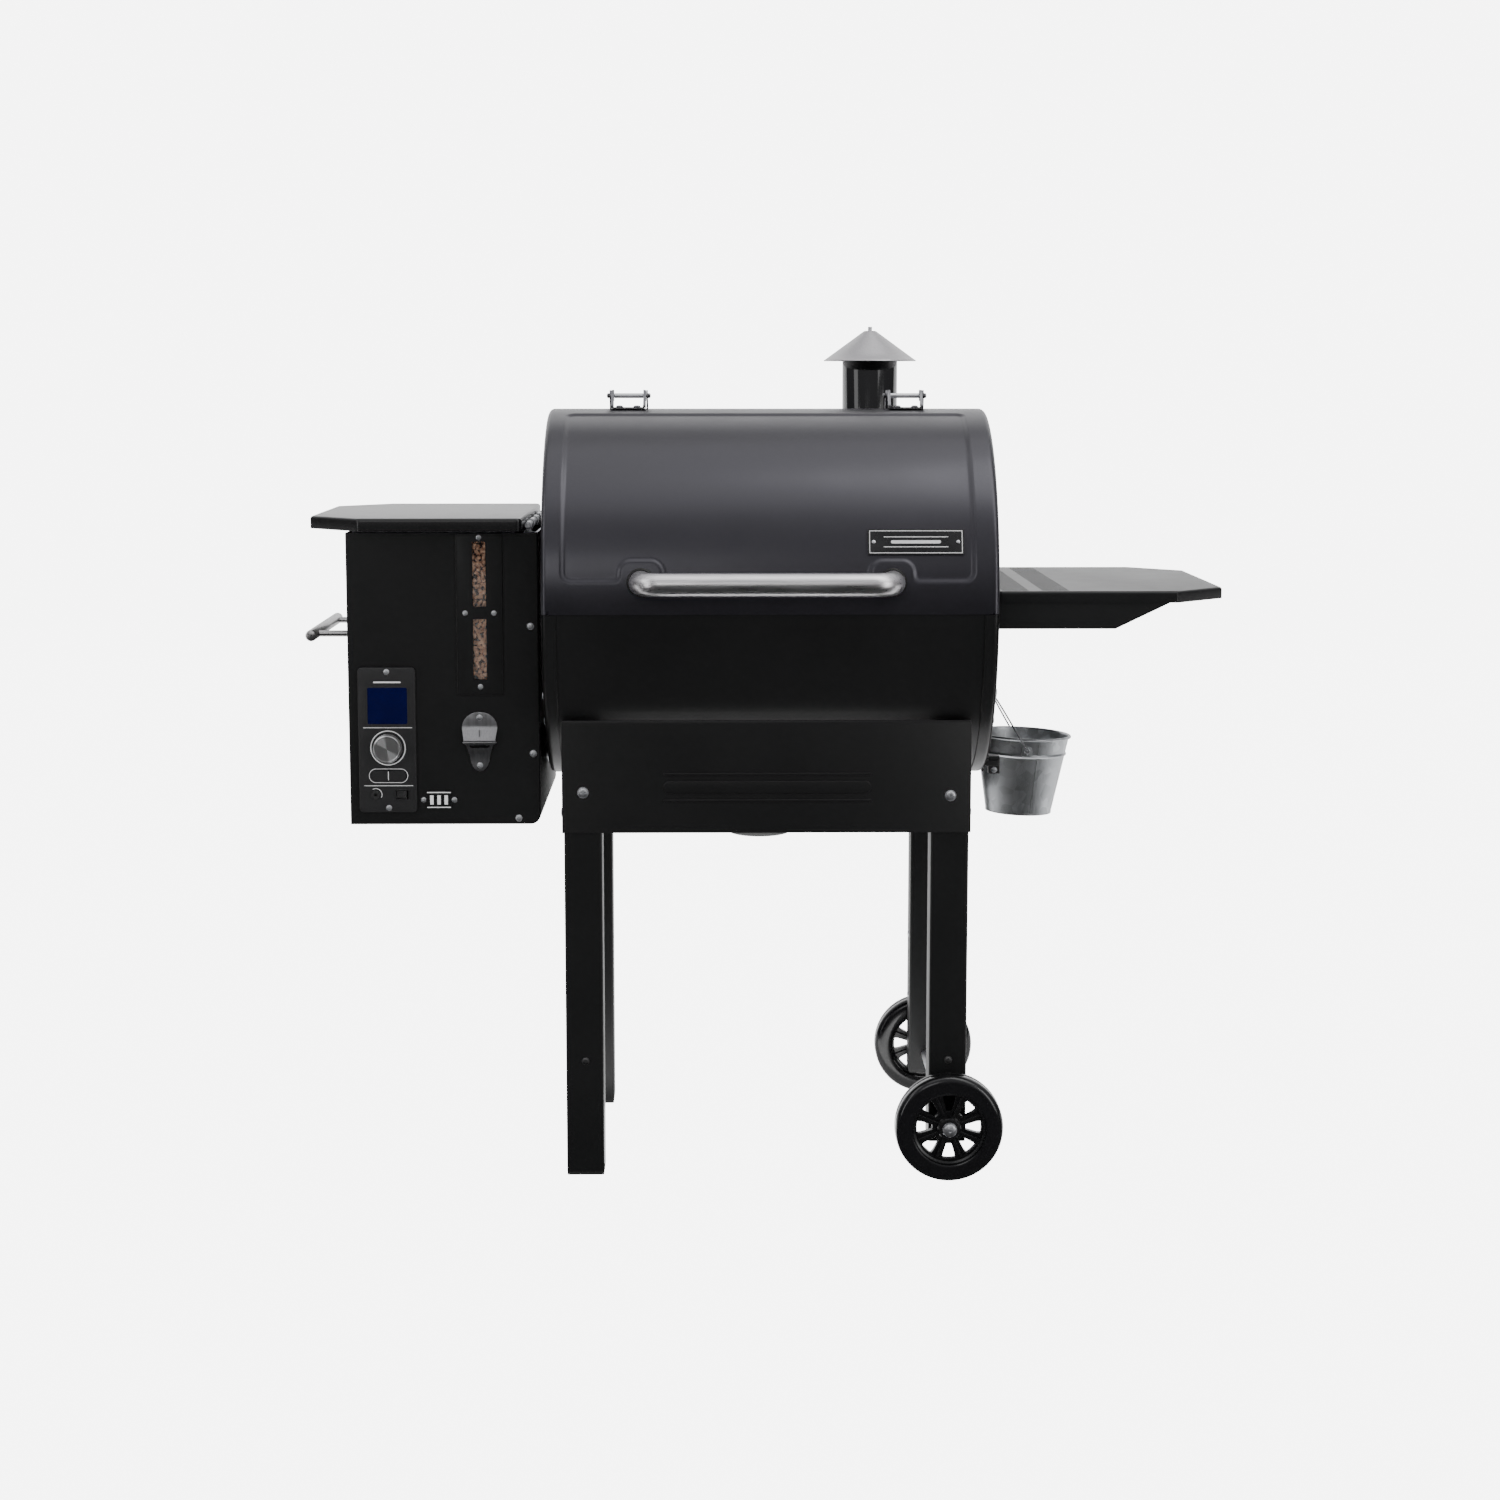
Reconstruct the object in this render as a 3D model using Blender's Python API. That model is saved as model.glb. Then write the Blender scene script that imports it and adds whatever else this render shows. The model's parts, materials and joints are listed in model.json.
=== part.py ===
"""Pellet smoker grill: one named object per sub-part, metres, +Z up, front faces -Y.

Sizes are worked out in a working frame whose X = 0 is the middle of the barrel, Y = 0 its axis
and Z = 0 the floor. SHIFT moves it all so that the origin is the bottom centre of the whole grill.
"""
import bpy
import bmesh
from math import sin, cos, pi, radians, sqrt, asin, acos, degrees
from mathutils import Vector, Matrix

# ---- driving dimensions, in metres ---------------------------------------------------------
GAP = 0.0003                    # between parts that touch
SHEET = 0.0016                  # sheet steel

BARREL_R = 0.2627               # outside of the lid and of the end-cap flanges
BARREL_HALF = 0.3125            # half length
AXIS_Z = 0.8105                 # barrel axis above the floor
CORNER_R = 0.008                # pressed corner round each end
FLANGE_W = 0.020                # end-cap flange over the shell
SHELL_R = BARREL_R - SHEET - GAP
SHELL_HALF = BARREL_HALF - CORNER_R - 0.0030

SEAM_Y = 0.006                  # rear edge of the lid
SEAM_FRONT = 182.5              # front edge of the lid, degrees from +Y over the top
PANEL_X, PANEL_HALF = -0.003, 0.284    # panel pressed inwards in the lid
PANEL_DEPTH = 0.0025
HINGE_X = 0.199
PIN_Y, PIN_Z, PIN_R = 0.010, 1.0915, 0.0025

HANDLE_R, HANDLE_X, HANDLE_HALF = 0.016, -0.005, 0.171
HANDLE_Y, HANDLE_Z = -0.310, 0.843

CART_X = -0.0042                # middle of the cart
LEG = 0.053                     # square leg tube
LEG_X, LEG_Y = 0.2818, 0.216    # outer faces of the legs from the middle of the cart
LEG_TOP, LEG_LIFT = 0.604, 0.047
APRON_X, APRON_Y = 0.2842, 0.218
APRON_LOW, APRON_TOP = 0.491, 0.6485

WHEEL_R, WHEEL_W = 0.076, 0.038
WHEEL_X, WHEEL_Y = 0.2515, 0.2395
AXLE_R, AXLE_HALF = 0.0078, 0.2660

CHIMNEY_X, CHIMNEY_Y, CHIMNEY_R = 0.157, 0.160, 0.041
CHIMNEY_TOP = 1.143
COWL_R, COWL_LOW, COWL_TOP, STUD_TOP = 0.069, 1.141, 1.186, 1.192

SHELF_X, SHELF_END, SHELF_Y = 0.3137, 0.634, 0.2314
SHELF_TOP, SHELF_LIP, SHELF_CUT = 0.828, 0.016, 0.074
SLOT_ROWS, SLOT_PITCH = 21, 0.0190

BOX_X0, BOX_X1, BOX_Y = -0.585, -0.3195, 0.190
BOX_LOW, BOX_TOP = 0.499, 0.906
LIDP_X0, LIDP_X1, LIDP_Y = -0.640, -0.3404, 0.212
LIDP_TOP, LIDP_LOW, LIDP_CUT = 0.927, 0.9094, 0.075
HH_X, HH_Z = -0.334, 0.915      # hopper lid hinge
WINDOW_X = -0.401
SLOTS_Z = ((0.703, 0.787), (0.804, 0.894))

PANEL_X0, PANEL_X1, PANEL_Z0, PANEL_Z1 = -0.5715, -0.4915, 0.517, 0.720
DIAL_X, DIAL_Z, DIAL_R = -0.5305, 0.6076, 0.020
BUTTON_Z, BUTTON_HALF, BUTTON_R = 0.5685, 0.0253, 0.0083
SWITCH_X, SWITCH_Z, ROCKER_LEAN = -0.5115, 0.542, -8

AUGER_Z, TUBE_R = 0.585, 0.025
POT_X, POT_R = -0.011, 0.055
GRATE_Z = 0.790
GRIP_X, GRIP_Z, GRIP_R, GRIP_HALF = -0.6423, 0.759, 0.008, 0.139

PAIL_X, PAIL_Y, PAIL_TOP = 0.3880, 0.120, 0.586
PAIL_R, PAIL_R0, PAIL_H = 0.0735, 0.049, 0.120
EAR_DROP, PAIL_TILT = 0.019, 2.5
HOOK_X, HOOK_Z = 0.343, 0.645

X_MIN = GRIP_X - GRIP_R
Y_MIN, Y_MAX = HANDLE_Y - HANDLE_R, AXLE_HALF
SHIFT = Vector((-(X_MIN + SHELF_END) / 2, -(Y_MIN + Y_MAX) / 2, 0.0))

# ---- finishes: base colour, metallic, roughness ----------------------------------------------
BLACK = (0.022, 0.022, 0.023), 0.25, 0.50
LID_GREY = (0.060, 0.060, 0.064), 0.35, 0.34
STEEL = (0.62, 0.62, 0.61), 1.0, 0.28
ZINC = (0.55, 0.56, 0.58), 1.0, 0.42
CHROME = (0.80, 0.80, 0.80), 1.0, 0.10
IRON = (0.018, 0.018, 0.018), 0.30, 0.62
ENAMEL = (0.012, 0.012, 0.012), 0.0, 0.30
PLASTIC = (0.016, 0.016, 0.017), 0.0, 0.38
GLASS = (0.45, 0.42, 0.38), 0.0, 0.08


def clear_scene():
    for ob in list(bpy.data.objects):
        bpy.data.objects.remove(ob, do_unlink=True)


def material(name, look):
    colour, metallic, rough = look
    mat = bpy.data.materials.new(name)
    mat.use_nodes = True
    bsdf = mat.node_tree.nodes["Principled BSDF"]
    bsdf.inputs["Base Color"].default_value = (*colour, 1.0)
    bsdf.inputs["Metallic"].default_value = metallic
    bsdf.inputs["Roughness"].default_value = rough
    return mat


def add(name, bm, look, pivot=(0.0, 0.0, 0.0)):
    """Finish a bmesh as one named object whose origin is at pivot."""
    pivot = Vector(pivot)
    bmesh.ops.remove_doubles(bm, verts=bm.verts, dist=1e-6)
    bmesh.ops.recalc_face_normals(bm, faces=bm.faces)
    bmesh.ops.translate(bm, verts=bm.verts, vec=-pivot)
    mesh = bpy.data.meshes.new(name)
    bm.to_mesh(mesh)
    bm.free()
    mesh.materials.append(material(name, look))
    ob = bpy.data.objects.new(name, mesh)
    ob.location = pivot + SHIFT
    bpy.context.scene.collection.objects.link(ob)
    return ob


# ---- shapes -----------------------------------------------------------------------------------
def loft(loops, closed=False):
    """Skin a list of equal-length loops of points; ends are capped unless closed."""
    bm = bmesh.new()
    rings = [[bm.verts.new(p) for p in loop] for loop in loops]
    n = len(rings[0])
    pairs = list(zip(rings, rings[1:])) + ([(rings[-1], rings[0])] if closed else [])
    for a, b in pairs:
        for i in range(n):
            j = (i + 1) % n
            bm.faces.new((a[i], a[j], b[j], b[i]))
    if not closed:
        bm.faces.new(rings[0][::-1])
        bm.faces.new(rings[-1])
    bmesh.ops.recalc_face_normals(bm, faces=bm.faces)
    return bm


def at(axis, u, v, w):
    """Point with (u, v) across the axis and w along it."""
    return {"x": (w, u, v), "y": (u, w, v), "z": (u, v, w)}[axis]


def prism(points, axis, lo, hi):
    return loft([[at(axis, u, v, w) for u, v in points] for w in (lo, hi)])


def box(x0, x1, y0, y1, z0, z1):
    return prism([(x0, y0), (x1, y0), (x1, y1), (x0, y1)], "z", z0, z1)


def circle(cu, cv, r, n=24, start=0.0):
    return [(cu + r * cos(start + 2 * pi * i / n), cv + r * sin(start + 2 * pi * i / n))
            for i in range(n)]


def arc(cu, cv, r, a0, a1, n):
    """Points on an arc, angles in degrees, both ends included."""
    return [(cu + r * cos(radians(a0 + (a1 - a0) * i / n)),
             cv + r * sin(radians(a0 + (a1 - a0) * i / n))) for i in range(n + 1)]


def rounded(u0, u1, v0, v1, r, n=4):
    """Rectangle with round corners."""
    return (arc(u1 - r, v0 + r, r, -90, 0, n) + arc(u1 - r, v1 - r, r, 0, 90, n)
            + arc(u0 + r, v1 - r, r, 90, 180, n) + arc(u0 + r, v0 + r, r, 180, 270, n))


def rod(axis, cu, cv, r, lo, hi, n=24):
    return prism(circle(cu, cv, r, n), axis, lo, hi)


def lathe(profile, axis, cu, cv, n=32):
    """Turn a closed (radius, along) profile, with no point on the axis, about the axis."""
    loops = [[at(axis, cu + r * cos(2 * pi * i / n), cv + r * sin(2 * pi * i / n), w)
              for r, w in profile] for i in range(n)]
    return loft(loops, closed=True)


def tube(axis, cu, cv, r_out, r_in, lo, hi, n=24):
    return lathe([(r_in, lo), (r_out, lo), (r_out, hi), (r_in, hi)], axis, cu, cv, n)


def sweep(path, r, n=12, up=(0.0, 0.0, 1.0)):
    """Round bar along a path of points."""
    path = [Vector(p) for p in path]
    loops = []
    side = None
    for i, p in enumerate(path):
        ahead = path[min(i + 1, len(path) - 1)] - path[max(i - 1, 0)]
        ahead.normalize()
        side = ahead.cross(Vector(up)) if side is None else side - ahead * side.dot(ahead)
        side.normalize()
        other = ahead.cross(side)
        loops.append([p + r * (side * cos(2 * pi * k / n) + other * sin(2 * pi * k / n))
                      for k in range(n)])
    return loft(loops)


def grid_plate(us, vs, solid, z0, z1):
    """Flat plate of square cells; solid(i, j) says which cells are metal."""
    bm = bmesh.new()
    verts = {}

    def vert(i, j, z):
        key = (i, j, z)
        if key not in verts:
            verts[key] = bm.verts.new((us[i], vs[j], z))
        return verts[key]

    inside = {(i, j) for i in range(len(us) - 1) for j in range(len(vs) - 1) if solid(i, j)}
    for i, j in inside:
        corners = [(i, j), (i + 1, j), (i + 1, j + 1), (i, j + 1)]
        bm.faces.new([vert(*c, z1) for c in corners])
        bm.faces.new([vert(*c, z0) for c in corners[::-1]])
        for k, (di, dj) in enumerate(((0, -1), (1, 0), (0, 1), (-1, 0))):
            if (i + di, j + dj) not in inside:
                a, b = corners[k], corners[(k + 1) % 4]
                bm.faces.new([vert(*a, z0), vert(*b, z0), vert(*b, z1), vert(*a, z1)])
    return bm


def joined(*parts):
    """Put several bmeshes in one, as they are."""
    out = bmesh.new()
    for part in parts:
        mesh = bpy.data.meshes.new("part")
        part.to_mesh(mesh)
        part.free()
        out.from_mesh(mesh)
        bpy.data.meshes.remove(mesh)
    return out


def boolean(bm, cutter, how):
    """Exact boolean of two bmeshes; both are used up."""
    obs = []
    for part in (bm, cutter):
        bmesh.ops.remove_doubles(part, verts=part.verts, dist=1e-6)
        bmesh.ops.recalc_face_normals(part, faces=part.faces)
        mesh = bpy.data.meshes.new("operand")
        part.to_mesh(mesh)
        part.free()
        obs.append(bpy.data.objects.new("operand", mesh))
        bpy.context.scene.collection.objects.link(obs[-1])
    mod = obs[0].modifiers.new("cut", "BOOLEAN")
    mod.operation, mod.object, mod.solver = how, obs[1], "EXACT"
    bpy.context.view_layer.update()
    done = obs[0].evaluated_get(bpy.context.evaluated_depsgraph_get())
    out = bmesh.new()
    out.from_mesh(done.data)
    for ob in obs:
        mesh = ob.data
        bpy.data.objects.remove(ob, do_unlink=True)
        bpy.data.meshes.remove(mesh)
    bmesh.ops.remove_doubles(out, verts=out.verts, dist=2e-6)
    bmesh.ops.dissolve_degenerate(out, edges=out.edges, dist=1e-6)
    return out


def cut(bm, *cutters):
    return boolean(bm, joined(*cutters), "DIFFERENCE")


def fuse(bm, *others):
    for other in others:
        bm = boolean(bm, other, "UNION")
    return bm


# ---- cart ---------------------------------------------------------------------------------------
def build_legs():
    for side, sx in (("left", -1), ("right", 1)):
        for end, sy in (("front", -1), ("rear", 1)):
            xa, xb = sorted((CART_X + sx * LEG_X, CART_X + sx * (LEG_X - LEG)))
            ya, yb = sorted((sy * LEG_Y, sy * (LEG_Y - LEG)))
            low = LEG_LIFT if sx > 0 else 0.0
            leg = cut(box(xa, xb, ya, yb, low, LEG_TOP),
                      box(xa + SHEET, xb - SHEET, ya + SHEET, yb - SHEET, low + 0.003, LEG_TOP + 0.01))
            if sx > 0:
                leg = cut(leg, rod("y", WHEEL_X, WHEEL_R, AXLE_R + GAP, ya - 0.01, yb + 0.01))
            add(f"leg_{end}_{side}", leg, BLACK)


def build_skirt():
    for end, sy in (("front", -1), ("rear", 1)):
        back = APRON_Y - 0.048
        outer = [(sy * APRON_Y, APRON_LOW), (sy * APRON_Y, APRON_TOP), (sy * (APRON_Y - 0.0085), APRON_TOP),
                 (sy * back, 0.600), (sy * back, APRON_LOW)]
        inner = [(sy * (APRON_Y - SHEET), APRON_LOW - 0.01), (sy * (APRON_Y - SHEET), APRON_TOP - SHEET),
                 (sy * (back - 0.01), APRON_TOP - SHEET), (sy * (back - 0.01), APRON_LOW - 0.01)]
        apron = cut(prism(outer, "x", CART_X - APRON_X, CART_X + APRON_X),
                    prism(inner, "x", CART_X - APRON_X + SHEET, CART_X + APRON_X - SHEET))
        add(f"apron_{end}", apron, BLACK)
    reach = LEG_Y - LEG - GAP
    cradle = SHELL_R + GAP
    half = degrees(asin(reach / cradle))
    edge = [(reach, APRON_LOW), (-reach, APRON_LOW)]
    edge += arc(0, AXIS_Z, cradle, 270 - half, 270 + half, 16)
    for side, sx in (("left", -1), ("right", 1)):
        xa, xb = sorted((CART_X + sx * (LEG_X - 0.001), CART_X + sx * (LEG_X - 0.001 - SHEET)))
        add(f"side_panel_{side}", prism(edge, "x", xa, xb), BLACK)


def build_wheels():
    add("axle", rod("y", WHEEL_X, WHEEL_R, AXLE_R, -AXLE_HALF, AXLE_HALF), ZINC)
    half, bore = WHEEL_W / 2, AXLE_R + 2 * GAP
    tyre = [(WHEEL_R - 0.005, -half), (WHEEL_R, -half + 0.009), (WHEEL_R, half - 0.009),
            (WHEEL_R - 0.005, half), (0.052, half), (0.047, 0.004), (0.016, 0.004), (0.014, half - 0.002),
            (bore, half - 0.002), (bore, -half + 0.002), (0.014, -half + 0.002), (0.016, -0.004),
            (0.047, -0.004), (0.052, -half)]
    for end, sy in (("front", -1), ("rear", 1)):
        wheel = lathe([(r, w + sy * WHEEL_Y) for r, w in tyre], "y", WHEEL_X, WHEEL_R, 32)
        holes = []
        for k in range(8):
            a = radians(45 * k - 90)
            du, dv = Vector((cos(a), sin(a))), Vector((-sin(a), cos(a)))
            hole = [du * r + dv * w for r, w in ((0.0225, -0.0035), (0.0445, -0.0088),
                                                 (0.0455, 0.0), (0.0445, 0.0088), (0.0225, 0.0035))]
            hole = [(WHEEL_X + p.x, WHEEL_R + p.y) for p in hole]
            holes.append(prism(hole, "y", sy * WHEEL_Y - 0.01, sy * WHEEL_Y + 0.01))
        add(f"wheel_{end}", cut(wheel, *holes), ENAMEL, (WHEEL_X, sy * WHEEL_Y, WHEEL_R))


# ---- barrel ---------------------------------------------------------------------------------------
def drum_stations(r, half, corner, n=2):
    """(x, radius) pairs along a drum whose end corners are rounded."""
    ends = [(half - corner + corner * sin(t), r - corner + corner * cos(t))
            for t in (pi / 2 * i / n for i in range(n + 1))]
    return [(-x, rr) for x, rr in ends[::-1]] + ends


def sector(stations, a0, a1, corner, n, rise=None):
    """Drum sector: arcs from a0 to a1 degrees closed by one corner point near the axis."""
    loops = []
    for x, r in stations:
        loop = [(x, corner[0], corner[1])]
        for i in range(n + 1):
            t = a0 + (a1 - a0) * i / n
            rr = r + (rise(x, t) if rise else 0.0)
            loop.append((x, rr * cos(radians(t)), AXIS_Z + rr * sin(radians(t))))
        loops.append(loop)
    return loft(loops)


SEAM_REAR = degrees(acos(SEAM_Y / BARREL_R))
SEAM_Z = AXIS_Z + 0.0002
BODY_FRONT = SEAM_FRONT + 0.15
BODY_REAR = 360 + degrees(acos((SEAM_Y + 0.0005) / BARREL_R))
INNER_R = BARREL_R - SHEET


def build_barrel():
    bend = [SHELL_R - 0.002, SHELL_R]
    a0, a1, n = 180.0, 450.0, 72
    loops = [[(x, r * cos(radians(t)), AXIS_Z + r * sin(radians(t)))
              for x, r in ((-SHELL_HALF, bend[0]), (SHELL_HALF, bend[0]), (SHELL_HALF, bend[1]),
                           (-SHELL_HALF, bend[1]))]
             for t in (a0 + (a1 - a0) * i / n for i in range(n + 1))]
    shell = cut(loft(loops),
                rod("z", POT_X, 0, POT_R + 2 * GAP, AXIS_Z - BARREL_R - 0.02, AXIS_Z - 0.2),
                rod("z", CHIMNEY_X, CHIMNEY_Y, CHIMNEY_R - 0.004, AXIS_Z + 0.10, AXIS_Z + 0.3))
    add("barrel_shell", shell, BLACK)
    for side, sx in (("left", -1), ("right", 1)):
        outer = [(x, r) for x, r in drum_stations(BARREL_R, BARREL_HALF, CORNER_R) if x > 0]
        outer = [(BARREL_HALF - FLANGE_W, BARREL_R)] + outer
        inner = [(x, r) for x, r in drum_stations(INNER_R, BARREL_HALF - SHEET, CORNER_R - SHEET) if x > 0]
        inner = [(BARREL_HALF - FLANGE_W - 0.01, INNER_R)] + inner
        low = (SEAM_Y + 0.0005, AXIS_Z - 0.0002)
        cap = cut(sector([(sx * x, r) for x, r in outer], BODY_FRONT, BODY_REAR, low, 72),
                  sector([(sx * x, r) for x, r in inner], 180.0, 452.0, (-0.006, AXIS_Z + 0.012), 72))
        if sx < 0:
            cap = cut(cap, rod("x", 0, AUGER_Z, TUBE_R + 2 * GAP, -BARREL_HALF - 0.01, -BARREL_HALF + 0.01))
        else:
            cap = cut(cap, rod("x", PAIL_Y, 0.605, 0.0113, BARREL_HALF - 0.01, BARREL_HALF + 0.01))
        add(f"end_cap_{side}", cap, BLACK)


def build_interior():
    us, x = [-0.280], -0.280
    for k in range(29):                               # bars along Y on three cross bars
        us += [x + 0.005, x + 0.01982]
        x += 0.01982
    us += [x + 0.005]
    vs = [-0.2475, -0.2415, -0.003, 0.003, 0.2415, 0.2475]
    grate = grid_plate(us, vs, lambda i, j: i % 2 == 0 or j in (0, 2, 4), GRATE_Z - 0.003, GRATE_Z + 0.003)
    add("cooking_grate", grate, IRON)
    us, x = [-0.300], -0.300
    for k in range(20):
        us += [x + 0.004, x + 0.0298]
        x += 0.0298
    us += [x + 0.004]
    vs = [0.056, 0.060, 0.130, 0.134, 0.203, 0.207]
    rack = grid_plate(us, vs, lambda i, j: i % 2 == 0 or j in (0, 2, 4), 0.918, 0.922)
    add("warming_rack", rack, CHROME)
    tray = [(-0.285, 0.712), (-0.285, 0.700), (0.262, 0.676), (0.262, 0.6775), (-0.2835, 0.7015),
            (-0.2835, 0.712)]
    add("drip_tray", prism(tray, "y", -0.200, 0.200), STEEL)
    hood = [(-0.120, 0.5835), (-0.120, 0.6560), (0.120, 0.6560), (0.120, 0.5835), (0.1185, 0.5835),
            (0.1185, 0.6545), (-0.1185, 0.6545), (-0.1185, 0.5835)]
    add("heat_deflector", prism(hood, "x", -0.190, 0.170), IRON)
    wall = 0.0022
    pot = [(POT_R, 0.5593), (POT_R, 0.640), (POT_R - wall, 0.640), (POT_R - wall, 0.562), (0.012, 0.562),
           (0.012, 0.5593)]
    pot = cut(lathe(pot, "z", POT_X, 0, 32),
              rod("x", 0, AUGER_Z, TUBE_R - 0.003, POT_X - POT_R - 0.01, POT_X - 0.02))
    add("fire_pot", pot, IRON)
    chute = [(POT_R, 0.530), (POT_R, 0.5590), (POT_R - wall, 0.5590), (POT_R - wall, 0.530)]
    add("ash_chute", lathe(chute, "z", POT_X, 0, 32), IRON)
    cup = [(0.001, 0.4545), (POT_R - 0.018, 0.4545), (POT_R - 0.006, 0.4600), (POT_R, 0.4720), (POT_R, 0.525),
           (POT_R - 0.002, 0.525), (POT_R - 0.002, 0.4725), (POT_R - 0.0075, 0.4615), (POT_R - 0.0185, 0.4565),
           (0.001, 0.4565)]
    cup = fuse(lathe(cup, "z", POT_X, 0, 24), rod("z", POT_X, 0, 0.002, 0.4545, 0.4565, 12))
    add("ash_cup", cup, BLACK, (POT_X, 0, 0.45))
    add("drain_spout", tube("x", PAIL_Y, 0.605, 0.011, 0.0092, 0.262, 0.338), ZINC)


def build_chimney():
    pipe = cut(tube("z", CHIMNEY_X, CHIMNEY_Y, CHIMNEY_R, CHIMNEY_R - SHEET, 0.955, CHIMNEY_TOP, 40),
               rod("x", 0, AXIS_Z, SHELL_R + GAP, CHIMNEY_X - 0.1, CHIMNEY_X + 0.1, 96))
    add("chimney_pipe", pipe, ENAMEL)
    bar = CHIMNEY_R - SHEET - GAP
    stud = fuse(rod("z", CHIMNEY_X, CHIMNEY_Y, 0.003, 1.085, STUD_TOP, 12),
                box(CHIMNEY_X - bar + 0.0015, CHIMNEY_X + bar - 0.0015, CHIMNEY_Y - 0.008, CHIMNEY_Y + 0.008,
                    1.090, 1.093))
    add("chimney_stud", stud, ZINC)
    cone = [(0.0036, COWL_TOP), (0.0085, COWL_TOP), (COWL_R, COWL_LOW + 0.003), (COWL_R, COWL_LOW),
            (COWL_R - 0.0015, COWL_LOW), (0.0085, COWL_TOP - 0.002), (0.0036, COWL_TOP - 0.002)]
    add("chimney_cap", lathe(cone, "z", CHIMNEY_X, CHIMNEY_Y, 40), STEEL, (CHIMNEY_X, CHIMNEY_Y, COWL_LOW))


# ---- lid ------------------------------------------------------------------------------------------
def panel_offset(x, angle):
    """Offset of the pressed panel from the lid skin, below zero inwards; angle in degrees from +Y over the top."""
    ramp = lambda d: max(0.0, min(1.0, d))
    across = ramp((PANEL_HALF - abs(x - PANEL_X)) / 0.005)
    low, top = ramp((173.0 - angle) / 1.4), ramp((angle - 100.0) / 7.0)
    if abs(abs(x - HANDLE_X) - HANDLE_HALF) < 0.024:
        low = ramp((167.6 - angle) / 1.4)
    return -PANEL_DEPTH * across * low * top


def build_lid():
    ends = drum_stations(BARREL_R, BARREL_HALF, CORNER_R)
    marks = [(PANEL_X, PANEL_HALF), (PANEL_X, PANEL_HALF - 0.005)]
    marks += [(HANDLE_X, HANDLE_HALF + d) for d in (0.027, 0.0239, -0.0239, -0.027)]
    xs = sorted((mid + s * half, BARREL_R) for mid, half in marks for s in (-1, 1))
    cut_at = len(ends) // 2
    outer = ends[:cut_at] + xs + ends[cut_at:]
    inner = [(x * (1 - SHEET / BARREL_HALF) if abs(x) > 0.3 else x,
              r - SHEET) for x, r in outer]
    steps = 42
    lid = cut(sector(outer, SEAM_REAR, SEAM_FRONT, (SEAM_Y, SEAM_Z), steps, panel_offset),
              sector(inner, SEAM_REAR - 2.5, SEAM_FRONT + 2.5, (SEAM_Y + 0.012, SEAM_Z - 0.012), steps + 3,
                     panel_offset))
    add("lid_shell", lid, LID_GREY, (0, PIN_Y, PIN_Z))

    bend = 0.030
    path = [(HANDLE_HALF, -0.2655, HANDLE_Z), (HANDLE_HALF, HANDLE_Y + bend, HANDLE_Z)]
    path += [(u, v, HANDLE_Z) for u, v in arc(HANDLE_HALF - bend, HANDLE_Y + bend, bend, 0, -90, 5)[1:]]
    path = [(HANDLE_X + x, y, z) for x, y, z in path] + [(HANDLE_X - x, y, z) for x, y, z in path[::-1]]
    add("lid_handle", sweep(path, HANDLE_R, 16), STEEL, (0, PIN_Y, PIN_Z))

    plate = box(-0.0655, 0.0655, -0.0009, 0.0009, -0.018, 0.018)
    spot = radians(degrees(asin((0.896 - AXIS_Z) / (BARREL_R - PANEL_DEPTH))))
    reach = BARREL_R - PANEL_DEPTH + 0.0020
    plate.transform(Matrix.Translation((0.198, -reach * cos(spot), AXIS_Z + reach * sin(spot)))
                    @ Matrix.Rotation(-spot, 4, "X"))
    add("name_plate", plate, ENAMEL, (0, PIN_Y, PIN_Z))


def build_hinges():
    top = AXIS_Z + BARREL_R
    bore = PIN_R + 2 * GAP
    for side, x in (("left", -HINGE_X), ("right", HINGE_X)):
        ear = [(-0.030, top + 0.0006), (-0.004, top + 0.0006), (-0.003, PIN_Z - 0.0082)]
        ear += arc(PIN_Y, PIN_Z, 0.0085, -60, 160, 12) + [(-0.012, top + 0.006), (-0.030, top + 0.004)]
        flat = [(-0.030, top + 0.0006), (0.002, top + 0.0006), (0.002, top + 0.0022), (-0.030, top + 0.0022)]
        arm = fuse(prism(flat, "x", x - 0.0230, x + 0.0230), prism(ear, "x", x - 0.0230, x - 0.0210),
                   prism(ear, "x", x + 0.0210, x + 0.0230))
        arm = cut(arm, rod("x", PIN_Y, PIN_Z, bore, x - 0.04, x + 0.04, 16))
        add(f"lid_hinge_arm_{side}", arm, ZINC, (0, PIN_Y, PIN_Z))

        seat = [(y, AXIS_Z + sqrt(SHELL_R ** 2 - y * y) + 0.0006) for y in (0.0090, 0.020, 0.032, 0.044)]
        seat += [(y, z + 0.0018) for y, z in seat[::-1]]
        wing = [(0.044, seat[3][1]), (0.044, seat[3][1] + 0.006), (0.024, PIN_Z - 0.003)]
        wing += arc(PIN_Y, PIN_Z, 0.0080, 20, 200, 10) + [(0.0045, PIN_Z - 0.008), (0.0090, seat[0][1])]
        wing += [seat[1], seat[2]]
        bracket = fuse(prism(seat, "x", x - 0.0275, x + 0.0275), prism(wing, "x", x - 0.0275, x - 0.0255),
                       prism(wing, "x", x + 0.0255, x + 0.0275),
                       rod("x", PIN_Y, PIN_Z, PIN_R, x - 0.0315, x + 0.0315, 16))
        add(f"hinge_bracket_{side}", bracket, ZINC)


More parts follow.
